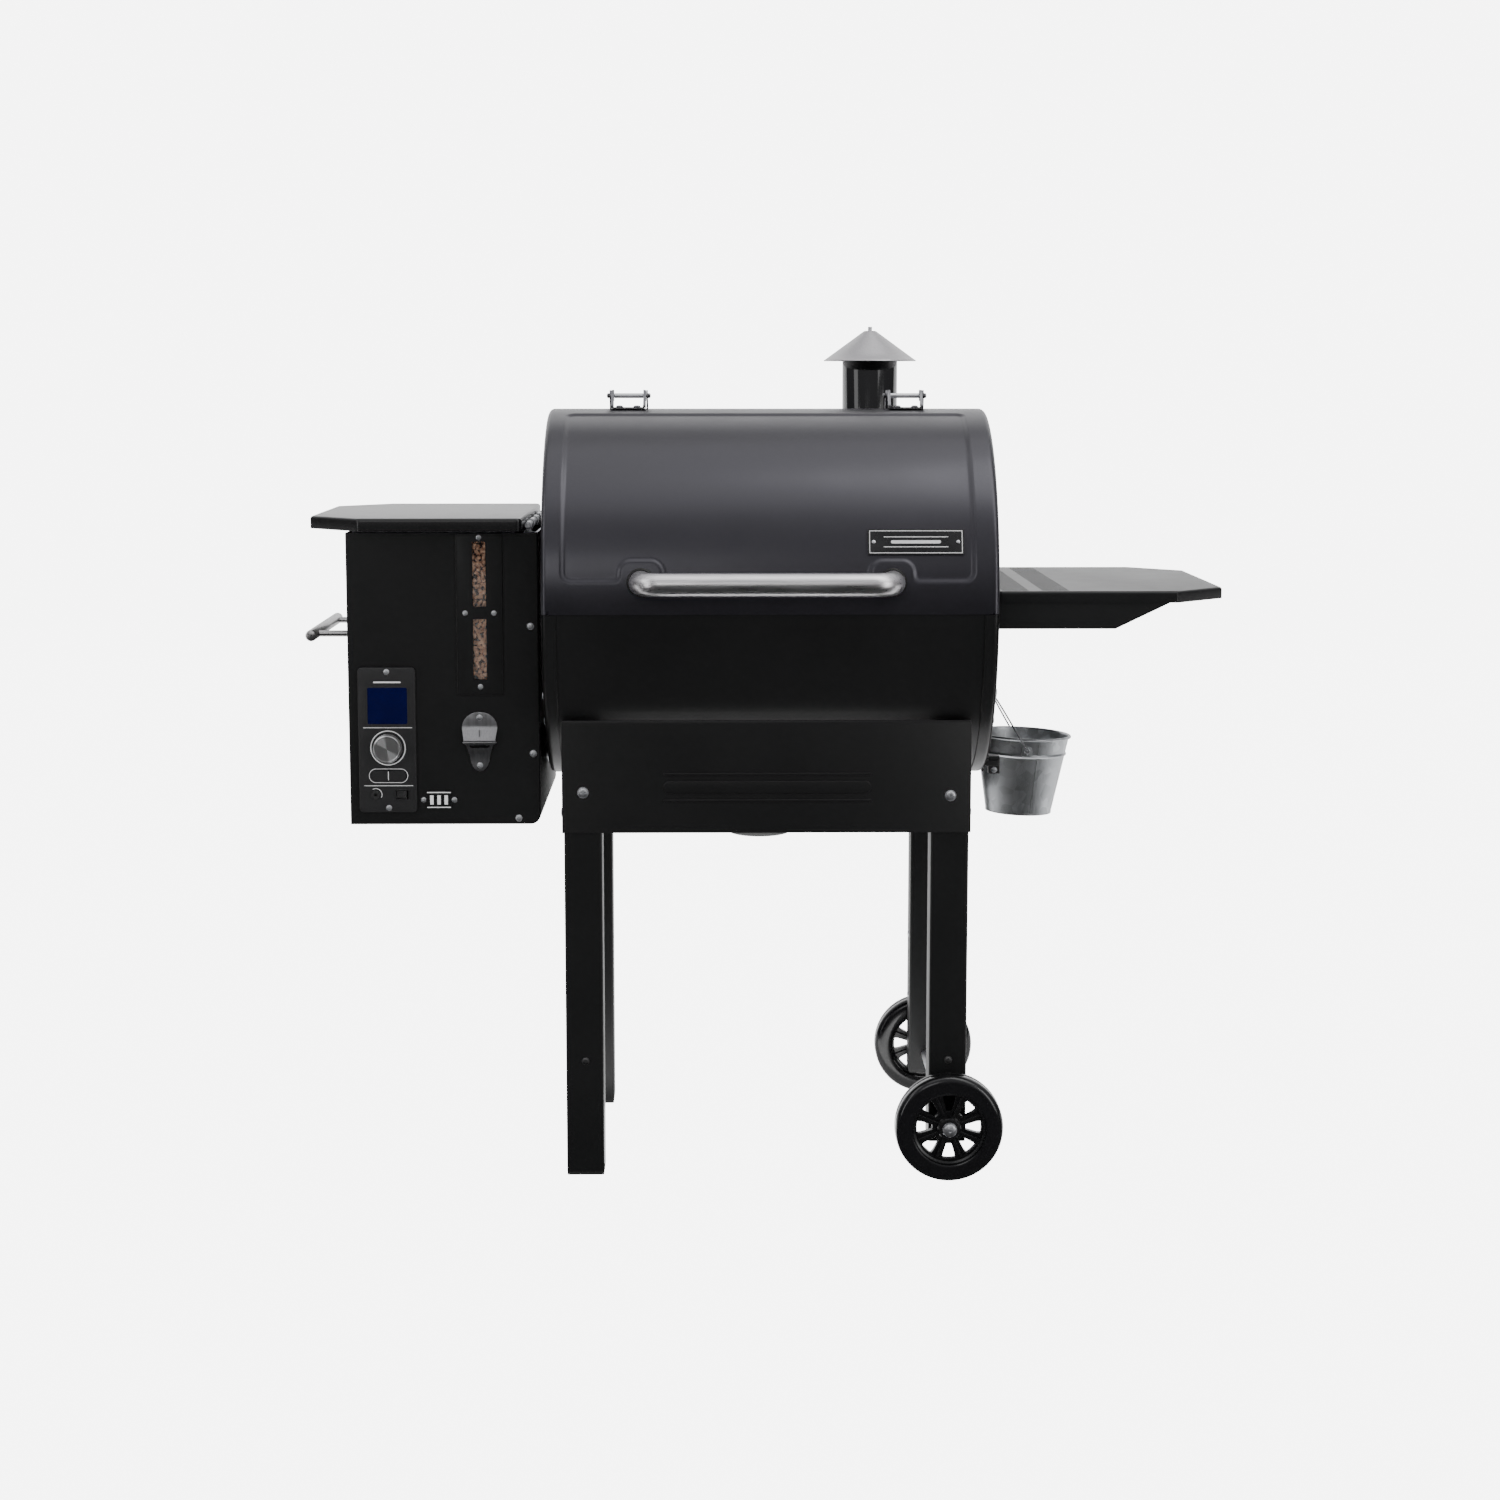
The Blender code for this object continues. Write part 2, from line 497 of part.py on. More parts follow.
# ---- side shelf and grease bucket -----------------------------------------------------------------
def chamfered(x0, x1, y, c, inset=0.0, left=False):
    """Tray outline with two cut corners at its outer end, or its inside where inset is given."""
    c -= inset * (2 - sqrt(2))
    y -= inset
    if left:
        x0, x1 = x0 + inset, x1 - inset
        return [(x1, -y), (x1, y), (x0 + c, y), (x0, y - c), (x0, -y + c), (x0 + c, -y)]
    x0, x1 = (x0 - 0.01 if inset else x0), x1 - inset
    return [(x0, -y), (x1 - c, -y), (x1, -y + c), (x1, y - c), (x1 - c, y), (x0, y)]


def build_shelf():
    low = SHELF_TOP - SHELF_LIP
    tray = cut(prism(chamfered(SHELF_X, SHELF_END, SHELF_Y, SHELF_CUT), "z", low, SHELF_TOP),
               prism(chamfered(SHELF_X, SHELF_END, SHELF_Y, SHELF_CUT, 0.0018), "z", low - 0.01,
                     SHELF_TOP - 0.0018))
    slots = []
    for x in (0.316, 0.375):
        for k in range(SLOT_ROWS):
            y = SLOT_PITCH * (k - (SLOT_ROWS - 1) / 2)
            slots.append(box(x + 0.003, x + 0.040, y - 0.0025, y + 0.0025, SHELF_TOP - 0.005, SHELF_TOP + 0.005))
    add("side_shelf", cut(tray, *slots), BLACK)
    top, x0 = SHELF_TOP - 0.0018 - GAP, BARREL_HALF + GAP
    profile = [(x0, top), (x0, 0.776), (0.475, 0.776), (0.550, low), (0.555, top)]
    for end, sy in (("front", -1), ("rear", 1)):
        edge = SHELF_Y - 0.0018 - GAP
        ya, yb = sorted((sy * edge, sy * (edge - SHEET)))
        yf, yg = sorted((sy * edge, sy * (edge - 0.018)))
        foot = box(x0, x0 + SHEET, yf, yg, 0.778, 0.798) if sy < 0 else box(x0, x0 + SHEET, yf, yg, 0.778, top)
        add(f"shelf_bracket_{end}", fuse(prism(profile, "y", ya, yb), foot), BLACK)


def build_bucket():
    hook = [(BARREL_HALF + GAP, PAIL_Y, HOOK_Z - 0.0045), (HOOK_X + 0.001, PAIL_Y, HOOK_Z - 0.0045)]
    hook += [(HOOK_X + 0.001 + 0.004 * sin(radians(a)), PAIL_Y, HOOK_Z - 0.0005 - 0.004 * cos(radians(a)))
             for a in (30, 60, 90)] + [(HOOK_X + 0.005, PAIL_Y, HOOK_Z + 0.007)]
    hook = fuse(sweep(hook, 0.002, 10, (0, 1, 0)),
                box(BARREL_HALF + GAP, BARREL_HALF + 0.002, PAIL_Y - 0.008, PAIL_Y + 0.008,
                    HOOK_Z - 0.014, HOOK_Z + 0.006))
    add("bucket_hook", hook, ZINC)

    ear_z = PAIL_TOP - EAR_DROP
    low = PAIL_TOP - PAIL_H
    slope = (PAIL_R - 0.0025 - PAIL_R0) / PAIL_H
    rad = lambda z: PAIL_R0 + slope * (z - low)
    prof = [(0.001, low + 0.003), (PAIL_R0 - 0.002, low + 0.003), (PAIL_R0, low),
            (rad(PAIL_TOP - 0.034), PAIL_TOP - 0.034), (rad(PAIL_TOP - 0.032) + 0.0012, PAIL_TOP - 0.032),
            (rad(PAIL_TOP - 0.030), PAIL_TOP - 0.030), (rad(PAIL_TOP) - 0.0004, PAIL_TOP - 0.005),
            (PAIL_R - 0.0006, PAIL_TOP - 0.0042), (PAIL_R, PAIL_TOP - 0.0022), (PAIL_R - 0.0010, PAIL_TOP),
            (rad(PAIL_TOP) - 0.0012, PAIL_TOP), (PAIL_R0 - 0.001, low + 0.0042), (0.001, low + 0.0042)]
    pail = fuse(lathe(prof, "z", PAIL_X, PAIL_Y, 32), rod("z", PAIL_X, PAIL_Y, 0.002, low + 0.003, low + 0.0042, 12))
    ears = []
    for sy in (-1, 1):
        ya, yb = sorted((PAIL_Y + sy * (rad(ear_z) - 0.002), PAIL_Y + sy * (PAIL_R + GAP)))
        ears.append(rod("y", PAIL_X, ear_z, 0.0045, ya, yb, 16))
    pail = fuse(pail, *ears)
    tilt = Matrix.Translation((PAIL_X, PAIL_Y, ear_z)) @ Matrix.Rotation(radians(PAIL_TILT), 4, "Y")
    pail.transform(tilt @ Matrix.Translation((-PAIL_X, -PAIL_Y, -ear_z)))
    add("grease_bucket", pail, ZINC, (PAIL_X, PAIL_Y, ear_z))

    span = PAIL_R + 0.0020                             # wire loop from ear to ear over the hook
    lean = Vector((HOOK_X - PAIL_X, 0, HOOK_Z - ear_z))
    sides = [(span, t) for t in (-0.04, 0.15, 0.30)]
    sides += [(span * cos(radians(b)), 0.30 + 0.70 * sin(radians(b))) for b in (15, 30, 45, 60, 75)]
    path = [(-w, t) for w, t in sides] + [(0.0, 1.0)] + sides[::-1]
    path = [Vector((PAIL_X, PAIL_Y + w, ear_z)) + lean * t for w, t in path]
    add("bucket_bail", sweep(path, 0.0013, 8, (1, 0, 0)), ZINC, (HOOK_X, PAIL_Y, HOOK_Z))


# ---- pellet hopper ----------------------------------------------------------------------------------
def build_hopper_box():
    r = 0.014
    plan = [(BOX_X0, BOX_LOW), (BOX_X1 - r, BOX_LOW)] + arc(BOX_X1 - r, BOX_LOW + r, r, -90, 0, 5)[1:]
    plan += [(BOX_X1, BOX_TOP), (BOX_X0, BOX_TOP)]
    ri = r - SHEET
    core = [(BOX_X0 + SHEET, BOX_LOW + SHEET), (BOX_X1 - r, BOX_LOW + SHEET)]
    core += arc(BOX_X1 - r, BOX_LOW + r, ri, -90, 0, 5)[1:]
    core += [(BOX_X1 - SHEET, BOX_TOP + 0.01), (BOX_X0 + SHEET, BOX_TOP + 0.01)]
    case = cut(prism(plan, "y", -BOX_Y, BOX_Y), prism(core, "y", -BOX_Y + SHEET, BOX_Y - SHEET))
    holes = [box(WINDOW_X - 0.0135, WINDOW_X + 0.0135, -BOX_Y - 0.01, -BOX_Y + 0.01, 0.695, 0.902),
             box(PANEL_X0 + 0.010, PANEL_X1 - 0.010, -BOX_Y - 0.01, -BOX_Y + 0.01, PANEL_Z0 + 0.012,
                 PANEL_Z1 - 0.012),
             rod("x", 0, AUGER_Z, TUBE_R + 2 * GAP, BOX_X1 - 0.01, BOX_X1 + 0.01)]
    add("hopper_box", cut(case, *holes), BLACK)


def build_hopper_bin():
    def ring(x0, x1, y, z, t):
        return [(x0 + t, -y + t, z), (x1 - t, -y + t, z), (x1 - t, y - t, z), (x0 + t, y - t, z)]
    stages = [(-0.576, -0.350, 0.184, 0.922), (-0.576, -0.350, 0.184, 0.800),
              (-0.500, -0.345, 0.100, 0.700), (-0.455, -0.355, 0.018, 0.6108)]
    loops = [ring(*s, 0.0) for s in stages] + [ring(*s, 0.0012) for s in stages[::-1]]
    funnel = loft(loops, closed=True)
    funnel = cut(funnel, box(WINDOW_X - 0.0135, WINDOW_X + 0.0135, -0.190, -0.175, 0.803, 0.900))
    add("hopper_bin", funnel, ZINC)


def build_hopper_lid():
    t = SHEET
    lid = cut(prism(chamfered(LIDP_X0, LIDP_X1, LIDP_Y, LIDP_CUT, left=True), "z", LIDP_LOW, LIDP_TOP),
              prism(chamfered(LIDP_X0, LIDP_X1, LIDP_Y, LIDP_CUT, t, left=True), "z", LIDP_LOW - 0.01,
                    LIDP_TOP - t))
    for y in (-0.075, 0.075):
        lid = fuse(lid, rod("y", HH_X, HH_Z, 0.0055, y - 0.020, y + 0.020, 16),
                   box(LIDP_X1 - 0.001, HH_X - 0.001, y - 0.020, y + 0.020, HH_Z - 0.001, HH_Z + 0.002))
    lid = cut(lid, rod("y", HH_X, HH_Z, 0.0034, -0.1, 0.1, 16))
    add("hopper_lid", lid, BLACK, (HH_X, 0, HH_Z))

    leaf = box(HH_X - 0.0045, BOX_X1, -0.186, 0.186, BOX_TOP + GAP, BOX_TOP + 0.0015)
    for y in (-0.150, 0.0, 0.150):
        leaf = fuse(leaf, rod("y", HH_X, HH_Z, 0.0050, y - 0.018, y + 0.018, 16),
                    box(HH_X - 0.002, HH_X + 0.0045, y - 0.018, y + 0.018, BOX_TOP + 0.001, HH_Z - 0.001))
    leaf = cut(leaf, rod("y", HH_X, HH_Z, 0.0034, -0.19, 0.19, 16))
    add("hopper_hinge_leaf", leaf, ZINC)
    add("hopper_hinge_pin", rod("y", HH_X, HH_Z, 0.0030, -0.176, 0.176, 16), ZINC)


def build_window():
    us = [WINDOW_X - 0.0325, WINDOW_X - 0.00925, WINDOW_X + 0.00925, WINDOW_X + 0.0325]
    vs = [0.681, SLOTS_Z[0][0], SLOTS_Z[0][1], SLOTS_Z[1][0], SLOTS_Z[1][1], BOX_TOP]
    frame = grid_plate(us, vs, lambda i, j: not (i == 1 and j in (1, 3)), 0, 0.0014)
    frame.transform(Matrix(((1, 0, 0, 0), (0, 0, -1, -BOX_Y - GAP), (0, 1, 0, 0), (0, 0, 0, 1))))
    add("window_frame", frame, BLACK)
    pane = box(WINDOW_X - 0.016, WINDOW_X + 0.016, -BOX_Y + SHEET + GAP, -BOX_Y + SHEET + 0.0025, 0.690, 0.904)
    add("window_pane", pane, GLASS)


def build_controls():
    face, back = -BOX_Y - 0.0035, -BOX_Y - GAP
    panel = prism(rounded(PANEL_X0, PANEL_X1, PANEL_Z0, PANEL_Z1, 0.006), "y", face, back)
    pill = [(DIAL_X + u, BUTTON_Z + v) for u, v in
            rounded(-BUTTON_HALF, BUTTON_HALF, -BUTTON_R, BUTTON_R, BUTTON_R, 6)]
    panel = cut(panel, rod("y", DIAL_X, DIAL_Z, 0.0045, face - 0.01, back + 0.01, 16),
                prism(pill, "y", face - 0.01, back + 0.01),
                box(SWITCH_X - 0.00835, SWITCH_X + 0.00835, face - 0.01, back + 0.01,
                    SWITCH_Z - 0.006, SWITCH_Z + 0.006))
    add("control_panel", panel, PLASTIC)
    add("dial_shaft", rod("y", DIAL_X, DIAL_Z, 0.0030, face - 0.012, back + 0.008, 16), STEEL,
        (DIAL_X, face, DIAL_Z))
    knob = [(0.0034, -0.0020), (DIAL_R - 0.0006, -0.0020), (DIAL_R, -0.0030), (DIAL_R - 0.0006, -0.0150),
            (DIAL_R - 0.0020, -0.0165), (0.0034, -0.0165)]
    add("dial_knob", lathe([(r, face + w) for r, w in knob], "y", DIAL_X, DIAL_Z, 28), STEEL,
        (DIAL_X, face, DIAL_Z))
    c, hw = GAP * 1.5, BUTTON_HALF - 0.0006
    r = BUTTON_R - 0.0006
    for side, sx in (("left", -1), ("right", 1)):
        end = arc(hw - r, 0, r, -90, 90, 8)
        half = [(c, -r)] + end + [(c, r)]
        half = [(DIAL_X + sx * u, BUTTON_Z + v) for u, v in half]
        add(f"button_{side}", prism(half, "y", face - 0.0012, back + 0.003), PLASTIC,
            (DIAL_X + sx * BUTTON_HALF / 2, face, BUTTON_Z))
    pivot = (SWITCH_X, back + 0.002)
    rock = [(-0.0069, 0.004), (0.0069, 0.004), (0.0069, -0.0060), (0.0, -0.0045), (-0.0069, -0.0060)]
    lean = radians(ROCKER_LEAN)
    rock = [(pivot[0] + u * cos(lean) - v * sin(lean), pivot[1] + u * sin(lean) + v * cos(lean))
            for u, v in rock]
    add("power_switch", prism(rock, "z", SWITCH_Z - 0.0055, SWITCH_Z + 0.0055), PLASTIC,
        (pivot[0], pivot[1], SWITCH_Z))


def build_trim():
    bar = rod("y", GRIP_X, GRIP_Z, GRIP_R, -GRIP_HALF, GRIP_HALF, 20)
    for y in (-0.105, 0.105):
        bar = fuse(bar, rod("x", y, GRIP_Z, 0.0045, GRIP_X, BOX_X0 - GAP, 16))
    add("side_handle", bar, STEEL)

    back = -BOX_Y - GAP
    shield = [(-0.0245, 0.622), (-0.0200, 0.616), (0.0200, 0.616), (0.0245, 0.622), (0.0245, 0.642),
              (0.0190, 0.650), (0.0080, 0.6575), (-0.0080, 0.6575), (-0.0190, 0.650), (-0.0245, 0.642)]
    tongue = [(-0.0150, 0.620), (-0.0110, 0.592), (-0.0085, 0.580), (-0.0040, 0.5745), (0.0040, 0.5745),
              (0.0085, 0.580), (0.0110, 0.592), (0.0150, 0.620)]
    opener = fuse(prism([(-0.403 + u, v) for u, v in shield], "y", back - 0.0030, back),
                  prism([(-0.403 + u, v) for u, v in tongue], "y", back - 0.0022, back),
                  box(-0.4250, -0.3810, back - 0.0100, back - 0.0005, 0.6165, 0.6195))
    add("bottle_opener", opener, STEEL)
    badge = rounded(-0.461 - 0.025, -0.461 + 0.025, 0.534 - 0.013, 0.534 + 0.013, 0.002, 2)
    add("badge_plate", prism(badge, "y", back - 0.0012, back), STEEL)


def build_feed():
    end = POT_X - POT_R - 2 * GAP
    pipe = cut(tube("x", 0, AUGER_Z, TUBE_R, TUBE_R - 0.0015, -0.540, end, 32),
               box(-0.4545, -0.3555, -0.0150, 0.0150, AUGER_Z + 0.012, AUGER_Z + 0.030))
    add("auger_tube", pipe, ZINC)
    loops, pitch, n = [], 0.042, 8
    length = 0.470
    steps = int(length / pitch * n)
    for k in range(steps + 1):
        x = -0.5395 + length * k / steps
        turn = 2 * pi * k / n
        shape = [(0.0060, a) for a in (60, 130, 180, 230, 300)] + [(0.0205, -14), (0.0205, 14)]
        loops.append([(x, r * cos(turn + radians(a)), AUGER_Z + r * sin(turn + radians(a)))
                      for r, a in shape])
    add("auger", loft(loops), STEEL, (-0.5395, 0, AUGER_Z))
    motor = fuse(box(-0.5795, -0.5405, -0.036, 0.036, 0.552, 0.632),
                 rod("y", -0.560, 0.600, 0.018, 0.030, 0.085, 20))
    add("auger_motor", motor, IRON)
    fx, fz, y0, y1 = -0.4750, 0.5480, 0.085, 0.135
    housing = cut(prism(rounded(fx - 0.045, fx + 0.045, fz - 0.040, fz + 0.040, 0.012), "y", y0, y1),
                  rod("y", fx, fz, 0.036, y0 + 0.004, y1 + 0.01, 28))
    add("fan_housing", housing, IRON)
    blades = []
    for k in range(12):
        a = 2 * pi * k / 12
        blades += [(fx + r * cos(a + d), fz + r * sin(a + d))
                   for r, d in ((0.016, -0.20), (0.033, -0.06), (0.033, 0.06), (0.016, 0.05))]
    add("fan_impeller", prism(blades, "y", y0 + 0.008, y1 - 0.006), PLASTIC, (fx, (y0 + y1) / 2, fz))


def main():
    clear_scene()
    for build in (build_legs, build_skirt, build_wheels, build_barrel, build_interior, build_chimney,
                  build_lid, build_hinges, build_shelf, build_bucket, build_hopper_box, build_hopper_bin,
                  build_hopper_lid, build_window, build_controls, build_trim, build_feed):
        build()


main()
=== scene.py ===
"""Looks of the pellet smoker grill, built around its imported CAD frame.

Shapes are made in a working frame whose X = 0 is the middle of the drum, Y = 0 its axis and
Z = 0 the floor; ORIGIN moves each piece to the row's own frame. Metres, front faces -Y.
"""

import json
import random
import bpy
import bmesh
from math import sin, cos, pi, radians, degrees, sqrt, atan2, hypot
from mathutils import Vector, Matrix


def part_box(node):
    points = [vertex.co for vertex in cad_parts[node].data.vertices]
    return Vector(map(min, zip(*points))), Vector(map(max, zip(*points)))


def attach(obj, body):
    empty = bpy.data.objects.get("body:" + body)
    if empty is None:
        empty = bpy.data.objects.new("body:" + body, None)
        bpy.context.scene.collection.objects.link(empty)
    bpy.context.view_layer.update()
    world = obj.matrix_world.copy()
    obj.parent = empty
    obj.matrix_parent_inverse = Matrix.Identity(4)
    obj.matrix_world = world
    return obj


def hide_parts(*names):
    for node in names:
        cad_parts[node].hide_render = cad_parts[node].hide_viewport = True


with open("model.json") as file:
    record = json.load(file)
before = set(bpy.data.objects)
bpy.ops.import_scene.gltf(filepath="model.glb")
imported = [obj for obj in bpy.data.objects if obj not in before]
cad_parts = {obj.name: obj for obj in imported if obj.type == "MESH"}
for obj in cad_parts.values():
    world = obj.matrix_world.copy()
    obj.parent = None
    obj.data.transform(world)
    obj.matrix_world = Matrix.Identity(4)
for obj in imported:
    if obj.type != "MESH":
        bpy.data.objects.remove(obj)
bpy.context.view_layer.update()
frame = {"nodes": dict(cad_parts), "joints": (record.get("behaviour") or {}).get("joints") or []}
NODES = frame["nodes"]

# ---- places read from the frame ----------------------------------------------------------------
shell_lo, shell_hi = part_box("barrel_shell")
ORIGIN = Vector(((shell_lo[0] + shell_hi[0]) / 2, (shell_lo[1] + shell_hi[1]) / 2, 0.0))


def limits(node):
    """A node's box in the working frame: x0, x1, y0, y1, z0, z1."""
    lo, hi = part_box(node)
    return (lo[0] - ORIGIN.x, hi[0] - ORIGIN.x, lo[1] - ORIGIN.y, hi[1] - ORIGIN.y, lo[2], hi[2])


def centre(node):
    b = limits(node)
    return (b[0] + b[1]) / 2, (b[2] + b[3]) / 2, (b[4] + b[5]) / 2


SHEET = 0.0016
AXIS_Z = 0.8105
BARREL_R = 0.2627
BARREL_HALF = limits("end_cap_right")[1]
SHELL_R = shell_hi[1] - ORIGIN.y
CORNER_R = 0.008
SEAM_Y, SEAM_FRONT = 0.006, 2.5            # lid's rear edge, and its front edge below the horizontal
PANEL_X, PANEL_HALF, PANEL_DEPTH = -0.003, 0.284, 0.0025
PIN_Y, PIN_Z = 0.010, 1.0915
HINGE_X = 0.199
HANDLE_R, HANDLE_X, HANDLE_HALF = 0.016, -0.005, 0.171
HANDLE_Y, HANDLE_Z = limits("lid_handle")[2] + HANDLE_R, 0.843


# ---- shapes ------------------------------------------------------------------------------------
def loft(loops, closed=False, caps=True):
    """Skin a list of equal-length loops of points."""
    bm = bmesh.new()
    rings = [[bm.verts.new(p) for p in loop] for loop in loops]
    n = len(rings[0])
    pairs = list(zip(rings, rings[1:])) + ([(rings[-1], rings[0])] if closed else [])
    for a, b in pairs:
        for i in range(n):
            k = (i + 1) % n
            bm.faces.new((a[i], a[k], b[k], b[i]))
    if caps and not closed:
        bm.faces.new(rings[0][::-1])
        bm.faces.new(rings[-1])
    return bm


def at(axis, u, v, w):
    """Point with (u, v) across the axis and w along it."""
    return {"x": (w, u, v), "y": (u, w, v), "z": (u, v, w)}[axis]


def prism(points, axis, lo, hi):
    return loft([[at(axis, u, v, w) for u, v in points] for w in (lo, hi)])


def box(x0, x1, y0, y1, z0, z1):
    return prism([(x0, y0), (x1, y0), (x1, y1), (x0, y1)], "z", z0, z1)


def arc(cu, cv, r, a0, a1, n):
    return [(cu + r * cos(radians(a0 + (a1 - a0) * i / n)),
             cv + r * sin(radians(a0 + (a1 - a0) * i / n))) for i in range(n + 1)]


def circle(cu, cv, r, n=32):
    return arc(cu, cv, r, 0, 360 - 360 / n, n - 1)


def hoop(axis, cu, cv, r, w, n):
    """Closed ring of n points about an axis, at w along it."""
    return [at(axis, cu + r * cos(2 * pi * i / n), cv + r * sin(2 * pi * i / n), w) for i in range(n)]


def rod(axis, cu, cv, r, lo, hi, n=32, chamfer=0.0):
    """Round bar from lo to hi along the axis, its ends chamfered."""
    if not chamfer:
        return prism(circle(cu, cv, r, n), axis, lo, hi)
    stages = ((lo, r - chamfer), (lo + chamfer, r), (hi - chamfer, r), (hi, r - chamfer))
    return loft([[at(axis, u, v, w) for u, v in circle(cu, cv, rr, n)] for w, rr in stages])


def lathe(profile, axis, cu, cv, n=64):
    """Turn a closed (radius, along) profile about the axis."""
    loops = [[at(axis, cu + r * cos(2 * pi * i / n), cv + r * sin(2 * pi * i / n), w)
              for r, w in profile] for i in range(n)]
    bm = loft(loops, closed=True)
    bmesh.ops.remove_doubles(bm, verts=bm.verts, dist=1e-6)
    bmesh.ops.dissolve_degenerate(bm, edges=bm.edges, dist=1e-7)
    return bm


def plan(corners, inset, r, n=6):
    """Convex outline moved inwards, its corners rounded to the radius that is left."""
    pts = [Vector(p) for p in corners]
    m = len(pts)
    out = []
    for i in range(m):
        a, b, c = pts[i - 1], pts[i], pts[(i + 1) % m]
        e0, e1 = (b - a).normalized(), (c - b).normalized()
        n0, n1 = Vector((-e0.y, e0.x)), Vector((-e1.y, e1.x))
        rr = max(r - inset, 0.0004)
        move = (n0 + n1) / (1 + n0.dot(n1))
        mid = b + move * (inset + rr)
        a0 = atan2(-n0.y, -n0.x)
        turn = atan2(e0.x * e1.y - e0.y * e1.x, e0.dot(e1))
        out += [(mid.x + rr * cos(a0 + turn * k / n), mid.y + rr * sin(a0 + turn * k / n))
                for k in range(n + 1)]
    return out


def rect(u0, u1, v0, v1):
    return [(u0, v0), (u1, v0), (u1, v1), (u0, v1)]


def plate(corners, axis, back, front, r, edge=0.0008, n=6, steps=3):
    """Flat plate with round corners and an eased front edge; front may be below back."""
    way = 1 if front > back else -1
    stages = [(0.0, back)]
    for k in range(steps + 1):
        a = pi / 2 * k / steps
        stages.append((edge * (1 - cos(a)), front - way * edge * (1 - sin(a))))
    return loft([[at(axis, u, v, w) for u, v in plan(corners, d, r, n)] for d, w in stages])


def tray(corners, low, top, wall, edge, r, n=8, steps=5):
    """Upside-down tray: rounded top edge, lip all round, open below."""
    stages = [(0.0, low)]
    for k in range(steps + 1):
        a = pi / 2 * k / steps
        stages.append((edge * (1 - cos(a)), top - edge * (1 - sin(a))))
    inner = [(d + wall * (1 if z < top - edge + 1e-6 else 0.7), z - wall) for d, z in stages[1:]]
    stages = [(wall, low)] + stages
    loops = [[(u, v, z) for u, v in plan(corners, d, r, n)] for d, z in stages]
    under = [[(u, v, z) for u, v in plan(corners, max(d, wall), r, n)] for d, z in inner]
    bm = loft(loops, caps=False)
    bm.verts.ensure_lookup_table()
    size = len(loops[0])
    bm.faces.new([bm.verts[len(bm.verts) - size + i] for i in range(size)])
    low_bm = loft([loops[0]] + under, caps=False)
    low_bm.verts.ensure_lookup_table()
    low_bm.faces.new([low_bm.verts[len(low_bm.verts) - size + i] for i in range(size)])
    return joined(bm, low_bm)


def sweep(path, r, n=16, up=(0.0, 0.0, 1.0), caps=True):
    """Round bar along a path of points; r may be one radius or one for each point."""
    path = [Vector(p) for p in path]
    radii = r if isinstance(r, list) else [r] * len(path)
    loops, side = [], None
    for i, p in enumerate(path):
        ahead = (path[min(i + 1, len(path) - 1)] - path[max(i - 1, 0)]).normalized()
        side = ahead.cross(Vector(up)) if side is None else side - ahead * side.dot(ahead)
        side.normalize()
        other = ahead.cross(side)
        loops.append([p + radii[i] * (side * cos(2 * pi * k / n) + other * sin(2 * pi * k / n))
                      for k in range(n)])
    return loft(loops, caps=caps)


def smooth_path(points, per=8):
    """Catmull-Rom curve through the points."""
    pts = [Vector(p) for p in points]
    pts = [2 * pts[0] - pts[1]] + pts + [2 * pts[-1] - pts[-2]]
    out = []
    for i in range(1, len(pts) - 2):
        a, b, c, d = pts[i - 1:i + 3]
        for k in range(per):
            t = k / per
            out.append(0.5 * (2 * b + (c - a) * t + (2 * a - 5 * b + 4 * c - d) * t * t
                              + (3 * b - a - 3 * c + d) * t ** 3))
    return out + [pts[-2]]


def pour(part, out):
    """Add one bmesh to another; the first is used up."""
    mesh = bpy.data.meshes.new("part")
    part.to_mesh(mesh)
    part.free()
    out.from_mesh(mesh)
    bpy.data.meshes.remove(mesh)


def joined(*parts):
    """Put several bmeshes in one."""
    out = bmesh.new()
    for part in parts:
        pour(part, out)
    return out


def copies(template, matrices):
    """The same small bmesh stamped at each matrix."""
    mesh = bpy.data.meshes.new("stamp")
    template.to_mesh(mesh)
    template.free()
    out = bmesh.new()
    for m in matrices:
        start = len(out.verts)
        out.from_mesh(mesh)
        out.verts.ensure_lookup_table()
        bmesh.ops.transform(out, matrix=m, verts=out.verts[start:])
    bpy.data.meshes.remove(mesh)
    return out


def put(name, data):
    """Add an object to the scene."""
    ob = bpy.data.objects.new(name, data)
    bpy.context.scene.collection.objects.link(ob)
    return ob


def boolean(bm, cutter):
    """Cut one bmesh from another; both are used up."""
    obs = []
    for part in (bm, cutter):
        bmesh.ops.remove_doubles(part, verts=part.verts, dist=1e-6)
        bmesh.ops.recalc_face_normals(part, faces=part.faces)
        mesh = bpy.data.meshes.new("operand")
        part.to_mesh(mesh)
        part.free()
        obs.append(put("operand", mesh))
    mod = obs[0].modifiers.new("cut", "BOOLEAN")
    mod.operation, mod.object, mod.solver = "DIFFERENCE", obs[1], "EXACT"
    bpy.context.view_layer.update()
    done = obs[0].evaluated_get(bpy.context.evaluated_depsgraph_get())
    out = bmesh.new()
    out.from_mesh(done.data)
    for ob in obs:
        mesh = ob.data
        bpy.data.objects.remove(ob, do_unlink=True)
        bpy.data.meshes.remove(mesh)
    return out


